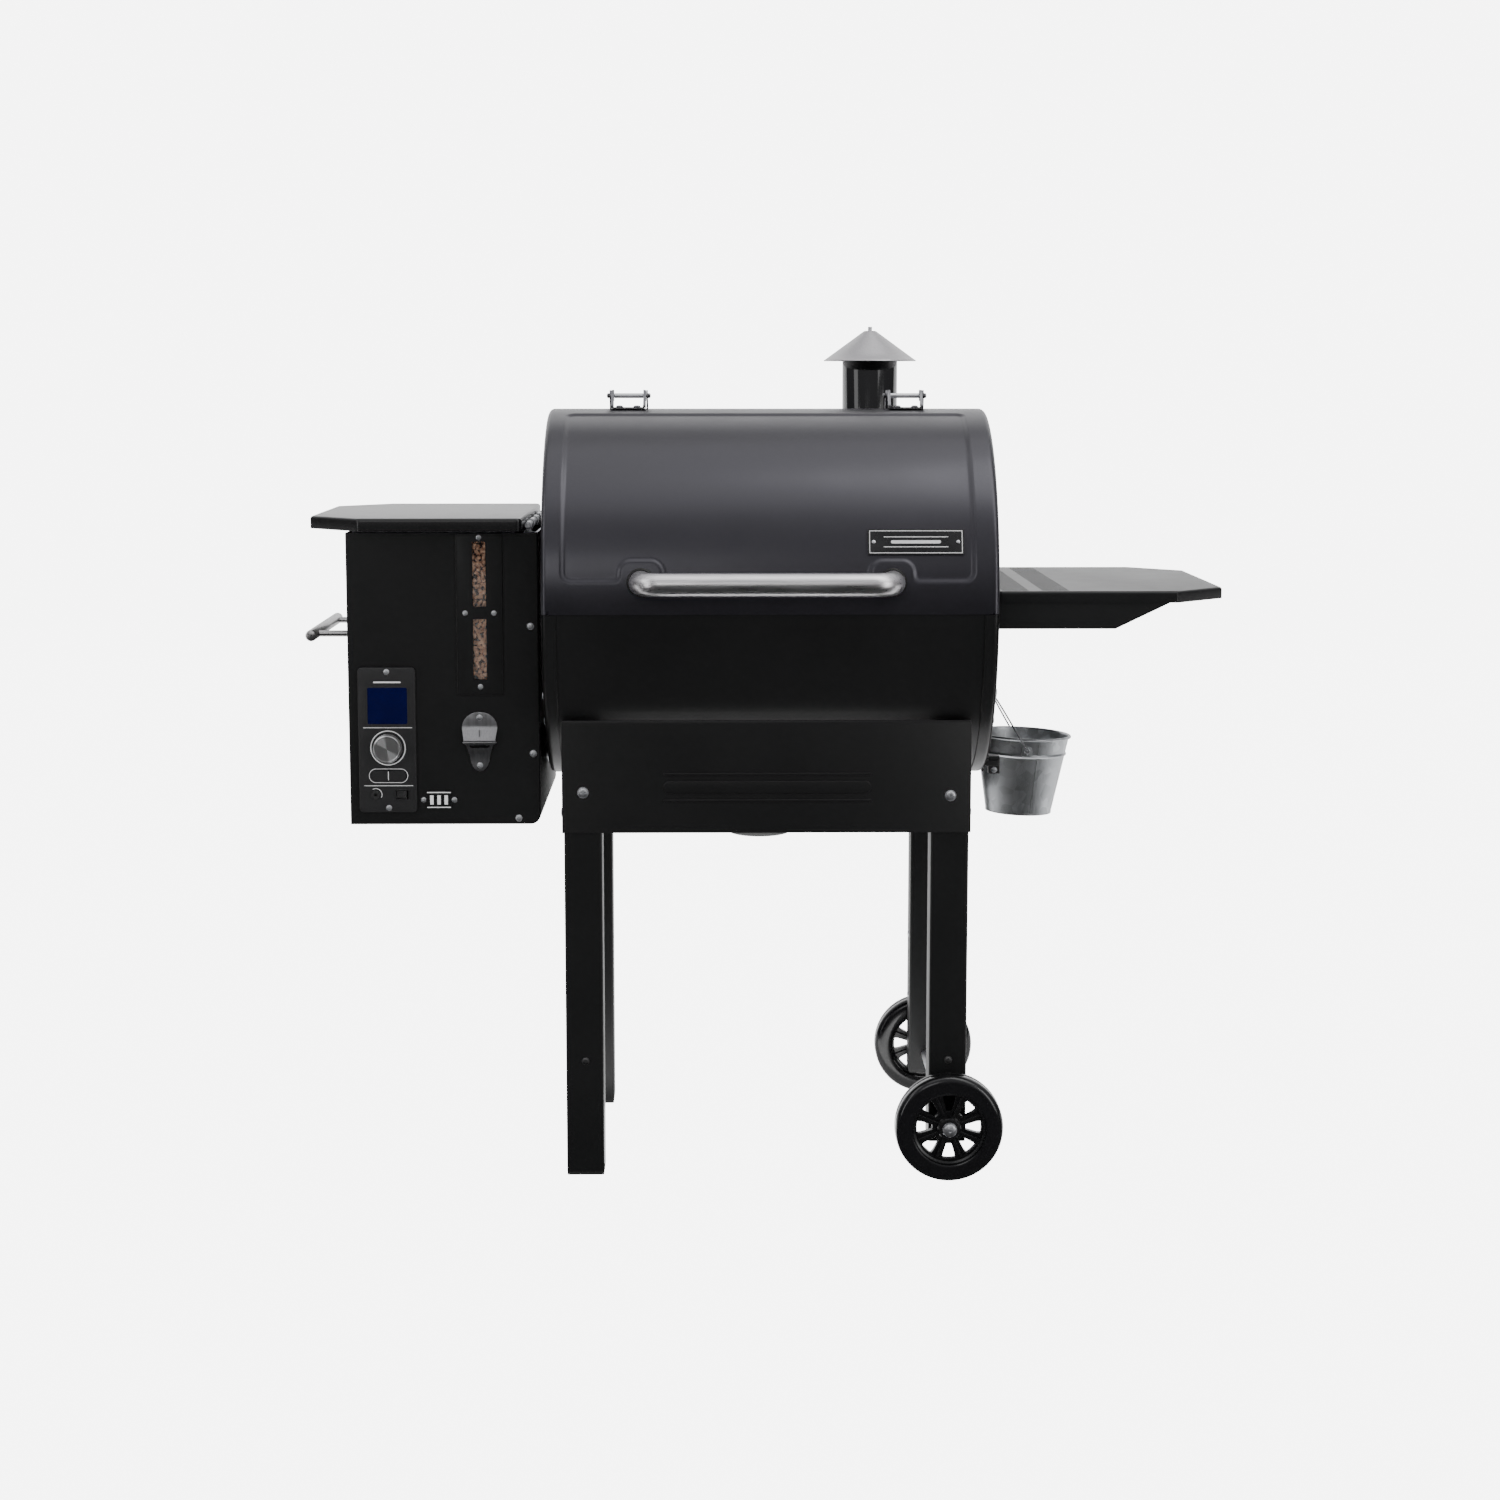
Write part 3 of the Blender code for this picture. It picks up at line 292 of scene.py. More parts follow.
def piece(name, bm, mat, body="grill", stands_for=(), bevel=0.0, sharp=32, keep=False):
    """Finish a bmesh as one visual piece that rides on a body."""
    bmesh.ops.remove_doubles(bm, verts=bm.verts, dist=1e-6)
    if not keep:
        bmesh.ops.recalc_face_normals(bm, faces=bm.faces)
    mesh = bpy.data.meshes.new(name)
    bm.to_mesh(mesh)
    bm.free()
    mesh.materials.append(mat)
    mesh.shade_smooth()
    if not bevel:
        mesh.set_sharp_from_angle(angle=radians(sharp))
    ob = put(name, mesh)
    ob.location = ORIGIN
    if bevel:
        mod = ob.modifiers.new("edges", "BEVEL")
        mod.width, mod.segments, mod.limit_method = bevel, 2, "ANGLE"
        mod.angle_limit = radians(sharp)
        mod.harden_normals = True
    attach(ob, body)
    nodes = [stands_for] if isinstance(stands_for, str) else list(stands_for)
    if nodes:
        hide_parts(*nodes)
    return ob


# ---- materials ---------------------------------------------------------------------------------
class Nodes:
    """Short way to wire a Principled material."""

    def __init__(self, name, slot, color, rough, metallic=0.0, **more):
        self.mat = bpy.data.materials.new(name)
        self.mat.use_nodes = True
        self.mat["slot"] = slot
        self.tree = self.mat.node_tree
        self.bsdf = self.tree.nodes["Principled BSDF"]
        self.set("Base Color", (*color, 1.0))
        self.set("Roughness", rough)
        self.set("Metallic", metallic)
        for key, value in more.items():
            self.set(key.replace("_", " "), value)
        self.coords = self.tree.nodes.new("ShaderNodeTexCoord").outputs["Object"]
        self.normal = None

    def set(self, socket, value):
        self.bsdf.inputs[socket].default_value = value

    def link(self, out, to):
        self.tree.links.new(out, to)

    def mapping(self, scale):
        node = self.tree.nodes.new("ShaderNodeMapping")
        node.inputs["Scale"].default_value = scale
        self.link(self.coords, node.inputs["Vector"])
        return node.outputs["Vector"]

    def noise(self, scale, detail=2.0, stretch=(1, 1, 1), rough=0.5):
        node = self.tree.nodes.new("ShaderNodeTexNoise")
        node.inputs["Scale"].default_value = scale
        node.inputs["Detail"].default_value = detail
        node.inputs["Roughness"].default_value = rough
        self.link(self.mapping(stretch), node.inputs["Vector"])
        return node.outputs["Fac"]

    def cells(self, scale, feature="F1", output="Color"):
        node = self.tree.nodes.new("ShaderNodeTexVoronoi")
        node.feature = feature
        node.inputs["Scale"].default_value = scale
        self.link(self.coords, node.inputs["Vector"])
        return node.outputs[output]

    def span(self, value, low, high, f0=0.3, f1=0.7):
        node = self.tree.nodes.new("ShaderNodeMapRange")
        for key, v in (("From Min", f0), ("From Max", f1), ("To Min", low), ("To Max", high)):
            node.inputs[key].default_value = v
        self.link(value, node.inputs["Value"])
        return node.outputs["Result"]

    def shades(self, value, *stops):
        node = self.tree.nodes.new("ShaderNodeValToRGB")
        ramp = node.color_ramp
        while len(ramp.elements) < len(stops):
            ramp.elements.new(0.5)
        for element, (place, color) in zip(ramp.elements, stops):
            element.position, element.color = place, (*color, 1.0)
        self.link(value, node.inputs["Fac"])
        return node.outputs["Color"]

    def color(self, value, *stops):
        self.link(self.shades(value, *stops), self.bsdf.inputs["Base Color"])

    def roughness(self, value, low, high, f0=0.3, f1=0.7):
        self.link(self.span(value, low, high, f0, f1), self.bsdf.inputs["Roughness"])

    def bump(self, height, strength, distance):
        node = self.tree.nodes.new("ShaderNodeBump")
        node.inputs["Strength"].default_value = strength
        node.inputs["Distance"].default_value = distance
        self.link(height, node.inputs["Height"])
        if self.normal:
            self.link(self.normal, node.inputs["Normal"])
        self.normal = node.outputs["Normal"]
        self.link(self.normal, self.bsdf.inputs["Normal"])


def powder_coat(name, slot, color, rough, grain=0.35, specular=0.34):
    """Baked powder coat: fine orange peel, slight cloudiness in the gloss."""
    m = Nodes(name, slot, color, rough, Specular_IOR_Level=specular)
    cloud = m.noise(5.0, 4.0)
    m.color(cloud, (0.30, tuple(c * 0.86 for c in color)), (0.70, tuple(c * 1.14 for c in color)))
    m.roughness(m.noise(38.0, 1.0), rough, rough + 0.02)
    m.bump(m.noise(850.0, 2.0), grain, 0.00012)
    m.bump(m.noise(210.0, 1.0), grain * 0.4, 0.00012)
    return m.mat


def gloss_enamel():
    """Thick gloss enamel with a pebbled surface."""
    m = Nodes("chimney_enamel", "enamel", (0.003, 0.003, 0.0034), 0.09, Specular_IOR_Level=0.5,
              Coat_Weight=0.45, Coat_Roughness=0.04)
    m.roughness(m.noise(60.0, 3.0), 0.07, 0.11)
    m.bump(m.noise(420.0, 2.0), 0.12, 0.00020)
    return m.mat


def lid_coat():
    """Smooth bronze-black enamel with a very fine metallic flake."""
    m = Nodes("lid_enamel", "lid_coat", (0.0062, 0.0058, 0.0074), 0.34, Specular_IOR_Level=0.75,
              Coat_Weight=0.25, Coat_Roughness=0.22)
    m.color(m.cells(1800.0), (0.0, (0.0040, 0.0037, 0.0048)), (1.0, (0.0084, 0.0080, 0.0104)))
    m.set("Specular Tint", (0.90, 0.88, 1.0, 1.0))
    m.roughness(m.noise(14.0, 3.0), 0.32, 0.38)
    m.bump(m.noise(420.0, 2.0), 0.08, 0.00010)
    return m.mat


def brushed(name, slot, color, rough, along="x", depth=0.25):
    """Brushed stainless, the grain running along one axis."""
    stretch = {"x": (0.02, 1, 1), "y": (1, 0.02, 1), "z": (1, 1, 0.02)}[along]
    m = Nodes(name, slot, color, rough, 1.0)
    grain = m.noise(700.0, 3.0, stretch, 0.6)
    m.color(grain, (0.30, tuple(c * 0.82 for c in color)),
            (0.70, tuple(min(1.0, c * 1.10) for c in color)))
    m.roughness(grain, rough - 0.06, rough + 0.10)
    m.bump(grain, depth, 0.00008)
    return m.mat


def spun(name, slot, color, rough, cx, cz):
    """Metal turned on a lathe about an axis along Y: rings in the bump, and a painted highlight, bright
    colour in two opposite wedges about the axis and darker colour between.
    """
    m = Nodes(name, slot, color, rough, 1.0)
    node = m.tree.nodes.new("ShaderNodeMapping")
    node.inputs["Location"].default_value = (-cx, 0.0, -cz)
    m.link(m.coords, node.inputs["Vector"])
    split = m.tree.nodes.new("ShaderNodeSeparateXYZ")
    m.link(node.outputs["Vector"], split.inputs["Vector"])

    def math(op, a, b=None):
        step = m.tree.nodes.new("ShaderNodeMath")
        step.operation = op
        for i, v in enumerate((a, b)):
            if isinstance(v, (int, float)):
                step.inputs[i].default_value = v
            elif v is not None:
                m.link(v, step.inputs[i])
        return step.outputs["Value"]

    x, z = split.outputs["X"], split.outputs["Z"]
    radius = math("SQRT", math("ADD", math("MULTIPLY", x, x), math("MULTIPLY", z, z)))
    rings = math("SINE", math("MULTIPLY", radius, 5200.0))
    # painted highlight: the colour is bright in two opposite wedges, standing in for the glint on the
    # turned face
    highlight_wedge = math("ABSOLUTE", math("COSINE", math("ADD", math("ARCTAN2", z, x), -2.18)))
    m.color(math("POWER", highlight_wedge, 9.0), (0.20, tuple(c * 0.42 for c in color)), (0.60, color))
    m.bump(rings, 0.25, 0.00006)
    return m.mat


def zinc_coat():
    """Hot-dip zinc: flat spangle crystals and dull patches."""
    color = (0.50, 0.515, 0.53)
    m = Nodes("galvanised", "zinc", color, 0.36, 1.0)
    patches = m.noise(9.0, 4.0)
    m.color(m.cells(70.0), (0.0, tuple(c * 0.80 for c in color)),
            (1.0, tuple(c * 1.16 for c in color)))
    m.roughness(patches, 0.30, 0.46)
    m.bump(m.noise(160.0, 3.0), 0.12, 0.0002)
    return m.mat


def plated(name, color, rough, slot="zinc"):
    """Electroplated metal, bright or blackened."""
    m = Nodes(name, slot, color, rough, 1.0)
    m.roughness(m.noise(220.0, 3.0), rough - 0.05, rough + 0.12)
    m.bump(m.noise(900.0, 2.0), 0.12, 0.00006)
    return m.mat


def moulded(name, color, rough, slot="panel_plastic", scale=1400.0, depth=0.20):
    """Injection-moulded plastic with a fine spark texture."""
    m = Nodes(name, slot, color, rough, Specular_IOR_Level=0.5)
    m.roughness(m.noise(60.0, 2.0), rough - 0.04, rough + 0.05)
    m.bump(m.noise(scale, 2.0), depth, 0.00006)
    return m.mat


def cast_iron():
    """Rough dark casting with rusty brown hollows."""
    m = Nodes("cast_iron", "cast", (0.020, 0.019, 0.018), 0.62, 0.4)
    m.color(m.noise(60.0, 4.0), (0.3, (0.012, 0.011, 0.010)), (0.75, (0.034, 0.030, 0.027)))
    m.bump(m.noise(520.0, 4.0), 0.5, 0.0002)
    return m.mat


def wood_pellet(name, shade):
    """Pressed sawdust in pale and dark browns; shade scales the colour down, painted shade for what lies
    deeper in the bin.
    """
    m = Nodes(name, "cast", (0.42, 0.25, 0.15), 0.62)
    tones = ((0.25, (0.20, 0.090, 0.050)), (0.50, (0.46, 0.27, 0.18)), (0.80, (0.72, 0.52, 0.40)))
    m.color(m.noise(210.0, 3.0), *((place, tuple(c * shade for c in tone)) for place, tone in tones))
    m.bump(m.noise(1800.0, 3.0), 0.5, 0.0002)
    return m.mat


def paint_line():
    """Thin printed or engraved white line."""
    m = Nodes("printed_line", "panel_plastic", (0.72, 0.72, 0.72), 0.45)
    m.roughness(m.noise(700.0, 2.0), 0.40, 0.52)
    m.bump(m.noise(1500.0, 2.0), 0.1, 0.00003)
    return m.mat


def screen_glass():
    """Blue display behind a glossy window; it is unlit, and a faint emission paints a blue glow on it."""
    m = Nodes("display_blue", "panel_plastic", (0.001, 0.0015, 0.040), 0.12, Specular_IOR_Level=0.5)
    # painted glow: faint blue emission on a display that is not lit
    m.set("Emission Color", (0.0002, 0.0008, 0.016, 1.0))
    m.set("Emission Strength", 0.5)
    m.color(m.noise(26.0, 2.0), (0.3, (0.0008, 0.0014, 0.022)), (0.7, (0.0010, 0.0020, 0.032)))
    m.roughness(m.noise(90.0, 2.0), 0.08, 0.15)
    m.bump(m.noise(40.0, 1.0), 0.03, 0.0001)
    return m.mat


def clear_pane():
    """Clear acrylic with a slight wave."""
    m = Nodes("clear_pane", "clear", (0.96, 0.95, 0.93), 0.04, Transmission_Weight=1.0, IOR=1.45)
    m.roughness(m.noise(30.0, 2.0), 0.02, 0.07)
    m.bump(m.noise(12.0, 1.0), 0.02, 0.0002)
    return m.mat


BLACK = powder_coat("black_powder_coat", "black_coat", (0.0072, 0.0072, 0.0074), 0.40, 0.25)
BLACK_SHEEN = powder_coat("black_top_coat", "black_coat", (0.0074, 0.0074, 0.0076), 0.30, 0.05)
LID = lid_coat()
BLACK_GLOSS = powder_coat("black_gloss_coat", "black_coat", (0.0074, 0.0074, 0.0076), 0.22, 0.05, 0.48)
PIPE = gloss_enamel()
STEEL_X = brushed("brushed_steel_x", "stainless", (0.84, 0.82, 0.83), 0.32, "x", 0.15)
STEEL_Y = brushed("brushed_steel_y", "stainless", (0.60, 0.59, 0.59), 0.30, "y")
OPENER = brushed("pressed_steel", "stainless", (0.40, 0.40, 0.41), 0.40, "z", 0.05)
ZINC = zinc_coat()
BRIGHT = plated("bright_zinc", (0.80, 0.81, 0.83), 0.40)
CHROME = plated("chrome_wire", (0.78, 0.78, 0.78), 0.10, "chrome_wire")
IRON = cast_iron()
TYRE = moulded("gloss_wheel", (0.0060, 0.0060, 0.0066), 0.15, "wheel_plastic", 500.0, 0.10)
HUB = moulded("wheel_hub", (0.0070, 0.0070, 0.0075), 0.26, "wheel_plastic", 900.0, 0.15)
HINGE = plated("dark_zinc", (0.20, 0.20, 0.21), 0.30)
BLACK_BOLT = plated("blackened_bolt", (0.16, 0.16, 0.16), 0.45)
CONE = brushed("spun_cone", "stainless", (0.60, 0.59, 0.60), 0.36, "z", 0.15)
PLATE = moulded("plate_black", (0.006, 0.006, 0.0065), 0.28)
PLASTIC = moulded("panel_black", (0.0150, 0.0150, 0.0156), 0.42)
RUBBER = moulded("soft_black", (0.014, 0.014, 0.014), 0.62)
WHITE = paint_line()
SCREEN = screen_glass()
PANE = clear_pane()
PELLET = wood_pellet("pressed_wood", 1.0)
# darker copies of the pellet wood: painted shade for pellets and heap that lie deeper in the bin
PELLET_HALF_SHADE = wood_pellet("pressed_wood_painted_half_shade", 0.28)
PELLET_SHADE = wood_pellet("pressed_wood_shade", 0.10)


# ---- fasteners ---------------------------------------------------------------------------------
def facing(place, normal, turn=0.0):
    """Matrix that puts a part made along +Z at place, looking along normal."""
    quat = Vector(normal).to_track_quat("Z", "Y")
    return Matrix.Translation(place) @ quat.to_matrix().to_4x4() @ Matrix.Rotation(radians(turn), 4, "Z")


def screw_head(r, high=0.42):
    """Pan head with a cross recess and a small washer face under it."""
    h = r * high
    dome = [(0.0, 0.0), (r * 1.25, 0.0), (r * 1.25, h * 0.16), (r, h * 0.16), (r, h * 0.45)]
    dome += [(r * cos(radians(a)), h * 0.45 + h * 0.55 * sin(radians(a))) for a in (20, 40, 60, 78)]
    bm = loft([hoop("z", 0.0, 0.0, rr, w, 20) for rr, w in dome[1:]])
    w, l = r * 0.15, r * 0.56
    cross = [(l, w), (w, w), (w, l), (-w, l), (-w, w), (-l, w),
             (-l, -w), (-w, -w), (-w, -l), (w, -l), (w, -w), (l, -w)]
    return boolean(bm, prism(cross, "z", h * 0.45, h * 1.5))


def screws(name, r, places, body="grill", mat=None, high=0.42):
    """places are (point, normal) pairs."""
    turns = random.Random(name)
    spots = [facing(p, n, turns.uniform(0, 90)) for p, n in places]
    return piece(name, copies(screw_head(r, high), spots), mat or BRIGHT, body, sharp=28)


FRONT, REAR, LEFT, RIGHT, UP = (0, -1, 0), (0, 1, 0), (-1, 0, 0), (1, 0, 0), (0, 0, 1)


# ---- cart --------------------------------------------------------------------------------------
def build_cart():
    feet = []
    for end in ("front", "rear"):
        for side in ("left", "right"):
            node = f"leg_{end}_{side}"
            x0, x1, y0, y1, z0, z1 = limits(node)
            end_z, gap = z0 + 0.005, 0.0004
            outer = [[(u, v, z) for u, v in plan(rect(x0, x1, y0, y1), d, 0.0035, 5)]
                     for d, z in ((SHEET, end_z), (0.0, end_z), (0.0, z1), (SHEET, z1),
                                  (SHEET, end_z + 0.010))]
            leg = loft(outer, caps=False)
            if side == "right":
                lx, _, lz = centre("axle")
                leg = boolean(loft(outer[1:3]), rod("y", lx, lz, 0.0085, y0 - 0.01, y1 + 0.01))
            piece(node + "_tube", leg, BLACK, "grill", node, sharp=40)
            feet.append(plate(rect(x0 + gap, x1 - gap, y0 + gap, y1 - gap), "z", end_z + gap, z0,
                              0.003, 0.0012, 5))
    piece("foot_plugs", joined(*feet), RUBBER)

    for end, s in (("front", -1), ("rear", 1)):
        x0, x1, y0, y1, z0, z1 = limits(f"apron_{end}")
        face, back = (y0, y1) if s < 0 else (y1, y0)
        r, t = 0.005, SHEET
        low_back = z1 - 0.0485

        def ring(inset, y):
            """Front outline of the apron at one depth, square at the bottom."""
            pts = arc(x1 - r, z1 - r, r - inset, 0, 90, 5) + arc(x0 + r, z1 - r, r - inset, 90, 180, 5)
            return [(x0 + inset, y, z0)] + [(u, y, v) for u, v in pts[::-1]] + [(x1 - inset, y, z0)]

        rings = [ring(inset, face - s * d)
                 for inset, d in ((0.0009, 0.0), (0.0002, 0.0004), (0.0, 0.0012), (0.0, 0.0024))]
        skin = loft(rings, caps=False)
        sides = []
        for xa, xb in ((x0, x0 + t), (x1 - t, x1)):
            outline = [(face - s * 0.0020, z0), (face - s * 0.0020, z1 - r), (back, low_back), (back, z0)]
            sides.append(prism(outline, "x", xa, xb))
        skin.verts.ensure_lookup_table()
        skin.faces.new(skin.verts[:len(rings[0])])
        # drop the strip that would close the open bottom edge
        strip = [f for f in skin.faces if all(abs(v.co.z - z0) < 1e-5 for v in f.verts)]
        bmesh.ops.delete(skin, geom=strip, context="FACES_ONLY")
        lining = bmesh.new()
        lining.faces.new([lining.verts.new((u, face - s * t, v))
                          for u, v in rect(x0 + t, x1 - t, z0, z1 - t)])
        piece(f"apron_{end}_skin", joined(skin, lining, *sides), BLACK, "grill", f"apron_{end}", sharp=40)
        if s < 0:
            bars = [plate(rect(-0.1475, 0.1410, low, high), "y", face, face - 0.0012,
                          (high - low) / 2 - 0.0001, 0.0012, 8)
                    for low, high in ((0.5345, 0.5385), (0.5460, 0.5640), (0.5715, 0.5755))]
            piece("apron_embossed_bars", joined(*bars), BLACK)
        bolts = [((x, face, z), (0, s, 0)) for x, z in ((-0.2590, 0.5480), (0.2515, 0.5430))]
        screws(f"apron_{end}_bolts", 0.0064, bolts)
    sides = [((limits("apron_front")[k], f * 0.196, 0.517), (s, 0, 0))
             for k, s in ((0, -1), (1, 1)) for f in (-1, 1)]
    screws("apron_side_bolts", 0.0060, sides)

    bolt_z = 0.1655
    for end, k, dx, way in (("front", 2, 0.001, FRONT), ("rear", 3, 0.0, REAR)):
        legs = [((centre(node)[0] + dx, limits(node)[k], bolt_z), way)
                for node in (f"leg_{end}_left", f"leg_{end}_right")]
        screws(f"leg_{end}_bolts", 0.0046, legs, mat=BLACK_BOLT)
    inner = [((limits("leg_rear_right")[0], 0.191, z), LEFT) for z in (bolt_z, 0.262)]
    screws("leg_inner_bolts", 0.0048, inner)


def build_wheels():
    lx, _, lz = centre("axle")
    _, _, a0, a1, _, _ = limits("axle")
    rod_bm = rod("y", lx, lz, 0.0078, a0 + 0.004, a1 - 0.004, 32, 0.0008)
    caps = []
    for s, end in ((-1, a0), (1, a1)):
        dome = [(0.0, 0.0), (0.0100, 0.0), (0.0104, 0.0012), (0.0100, 0.0045), (0.0088, 0.0066),
                (0.0060, 0.0078), (0.0022, 0.0082), (0.0018, 0.0076), (0.0, 0.0076)]
        caps.append(lathe([(r, end - s * (0.0082 - w)) for r, w in dome], "y", lx, lz, 36))
    piece("axle_rod", rod_bm, BRIGHT, "grill", "axle")
    piece("axle_caps", joined(*caps), BRIGHT)
    for end in ("front", "rear"):
        node = f"wheel_{end}"
        _, _, y0, y1, z0, z1 = limits(node)
        cy, half = (y0 + y1) / 2, (y1 - y0) / 2
        R = (z1 - z0) / 2
        tread = [(0.0505, half - 0.0060), (0.0520, half - 0.0012), (0.0545, half), (R - 0.0105, half)]
        tread += [(R - 0.0105 + 0.0105 * sin(radians(a)), half - 0.0105 + 0.0105 * cos(radians(a)))
                  for a in (15, 30, 45, 60, 75, 90)]
        mould = [(R, 0.0010), (R - 0.0007, 0.0), (R, -0.0010)]
        tread += mould + [(r, -w) for r, w in tread[::-1]]
        tyre = lathe([(r, cy + w) for r, w in tread], "y", lx, lz, 96)
        piece(f"{node}_tyre", tyre, TYRE, f"{end}_wheel", node, sharp=35)
        web = 0.0050
        rim = [(0.0506, half - 0.0061), (0.0478, half - 0.0075), (0.0462, web), (0.0180, web),
               (0.0165, half - 0.0060), (0.0152, half - 0.0030), (0.0120, half - 0.0018),
               (0.0086, half - 0.0018)]
        rim += [(r, -w) for r, w in rim[::-1]]
        hub = lathe([(r, cy + w) for r, w in rim], "y", lx, lz, 96)
        outline = [(0.0235, -0.0036), (0.0395, -0.0084)]
        outline += [(0.0452 * cos(radians(a)), 0.0452 * sin(radians(a))) for a in (-11, -6, 0, 6, 11)]
        outline += [(0.0395, 0.0084), (0.0235, 0.0036)]

        def spoke(points, turn, reach):
            """Prism through the wheel whose (outwards, across) outline is turned about the hub."""
            a = radians(turn)
            du, dv = Vector((cos(a), sin(a))), Vector((-sin(a), cos(a)))
            turned = [du * p + dv * q for p, q in points]
            return prism([(lx + p.x, lz + p.y) for p in turned], "y", cy - reach, cy + reach)

        cuts = [spoke(outline, 45 * k - 90, 0.02) for k in range(8)]
        rib = rect(0.0150, 0.0470, -0.0016, 0.0016)
        ribs = [spoke(rib, 45 * k - 67.5, 0.0095) for k in range(8)]
        hub = boolean(hub, joined(*cuts))
        piece(f"{node}_hub", hub, HUB, f"{end}_wheel", bevel=0.0006, sharp=40)
        piece(f"{node}_ribs", joined(*ribs), HUB, f"{end}_wheel", bevel=0.0005, sharp=40)


# ---- drum --------------------------------------------------------------------------------------
def ramp(a, b, x):
    t = max(0.0, min(1.0, (x - a) / (b - a)))
    return t * t * (3 - 2 * t)


def round_box(u, v, cu, cv, hu, hv, r):
    """Signed distance to a rectangle with round corners."""
    du, dv = abs(u - cu) - hu + r, abs(v - cv) - hv + r
    return hypot(max(du, 0.0), max(dv, 0.0)) + min(max(du, dv), 0.0) - r


PANEL_LOW, PANEL_TOP = radians(6.6), radians(78.0)


def panel_offset(x, angle):
    """Offset of the pressed panel, below zero inwards; angle from the front horizontal, over the top."""
    v0, v1 = PANEL_LOW * BARREL_R, PANEL_TOP * BARREL_R
    v = angle * BARREL_R
    d = round_box(x, v, PANEL_X, (v0 + v1) / 2, PANEL_HALF, (v1 - v0) / 2, 0.016)
    lean = 0.10 * (v - v0)
    notch = round_box(abs(x - HANDLE_X), v, HANDLE_HALF, v0, 0.0275 - lean, 0.0285, 0.011)
    k = 0.008
    h = max(k - abs(d + notch), 0.0) / k
    d = max(d, -notch) + h * h * k * 0.25
    return -PANEL_DEPTH * ramp(0.0, 0.0085, -d)


def spaced(stops):
    """Stations from (from, to, step) runs."""
    out = []
    for a, b, step in stops:
        n = max(1, round((b - a) / step))
        out += [a + (b - a) * i / n for i in range(n)]
    return out + [stops[-1][1]]


def drum_end(half, r, corner, n=8):
    """(x, radius) pairs round the rolled corner of one end, from the skin to the flat plate."""
    ends = [(half - corner + corner * sin(t), r - corner + corner * cos(t))
            for t in (pi / 2 * i / n for i in range(n + 1))]
    return ends + [(half, r - corner - 0.0015)]


def build_lid():
    a_front, a_rear = -radians(SEAM_FRONT), pi / 2 + SEAM_Y / BARREL_R
    ends = drum_end(BARREL_HALF, BARREL_R, CORNER_R)
    edge, fine = BARREL_HALF - CORNER_R, 0.0014
    left, right = HANDLE_X - HANDLE_HALF, HANDLE_X + HANDLE_HALF
    notch, coarse = 0.037, 0.0065
    panel_left, panel_right = PANEL_X - PANEL_HALF - 0.001, PANEL_X + PANEL_HALF + 0.001
    runs = [(-edge, panel_left, 0.004), (panel_left, -0.268, 0.0011), (-0.268, left - notch, coarse),
            (left - notch, left + notch, fine), (left + notch, right - notch, 0.010),
            (right - notch, right + notch, fine), (right + notch, 0.262, coarse),
            (0.262, panel_right, 0.0011), (panel_right, edge, 0.004)]
    rows = [(-x, r) for x, r in ends[:0:-1]] + [(x, BARREL_R) for x in spaced(runs)] + ends[1:]
    turns = spaced([(a_front, radians(5), radians(1.3)), (radians(5), radians(17), radians(0.28)),
                    (radians(17), radians(70), radians(1.6)), (radians(70), radians(80), radians(0.36)),
                    (radians(80), a_rear, radians(1.4))])

    def point(x, r, a):
        return (x, -r * cos(a), AXIS_Z + r * sin(a))

    bm = bmesh.new()
    grid = [[bm.verts.new(point(x, r + (panel_offset(x, a) if r > BARREL_R - 1e-6 else 0.0), a))
             for a in turns] for x, r in rows]
    for p, q in zip(grid, grid[1:]):
        for i in range(len(turns) - 1):
            bm.faces.new((p[i], p[i + 1], q[i + 1], q[i]))
    corner = (SEAM_Y, AXIS_Z + 0.0002)
    for row, x in ((grid[0], -BARREL_HALF), (grid[-1], BARREL_HALF)):
        tip = bm.verts.new((x, *corner))
        bm.faces.new(row + [tip] if x < 0 else (row + [tip])[::-1])
    # inside skin and end plates, one sheet thickness in, following the panel
    deep = BARREL_R - SHEET
    inside = BARREL_HALF - SHEET
    xs = [-inside, -0.300, -0.292, -0.2, -0.1, 0.0, 0.1, 0.2, 0.286, 0.300, inside]
    arcs = [a_front + (a_rear - a_front) * i / 48 for i in range(49)]

    def lining(x, a):
        if abs(x) > 0.305:
            return deep - CORNER_R * 0.3
        return deep - (PANEL_DEPTH if abs(x) < 0.295 and PANEL_LOW * 0.6 < a < PANEL_TOP + 0.05 else 0.0)

    inner = [[bm.verts.new(point(x, lining(x, a), a)) for a in arcs] for x in xs]
    for p, q in zip(inner, inner[1:]):
        for i in range(48):
            bm.faces.new((p[i], q[i], q[i + 1], p[i + 1]))
    for row, x in ((inner[0], xs[0]), (inner[-1], xs[-1])):
        tip = bm.verts.new((x, *corner))
        bm.faces.new(row + [tip] if x > 0 else (row + [tip])[::-1])
    # sheet edges along the front, the rear and the end plates
    for a in (a_front, a_rear):
        bm.faces.new([bm.verts.new(point(x, r, a)) for x, r in rect(-0.3045, 0.3045, BARREL_R, deep)])
    for s in (-1, 1):
        for a in (a_front, a_rear):
            xa, xb = s * BARREL_HALF, s * inside
            r = BARREL_R - CORNER_R
            edge_points = (point(xa, r, a), point(xb, r, a), (xb, *corner), (xa, *corner))
            bm.faces.new([bm.verts.new(p) for p in edge_points])
    piece("lid_skin", bm, LID, "lid", "lid_shell", sharp=40, keep=True)


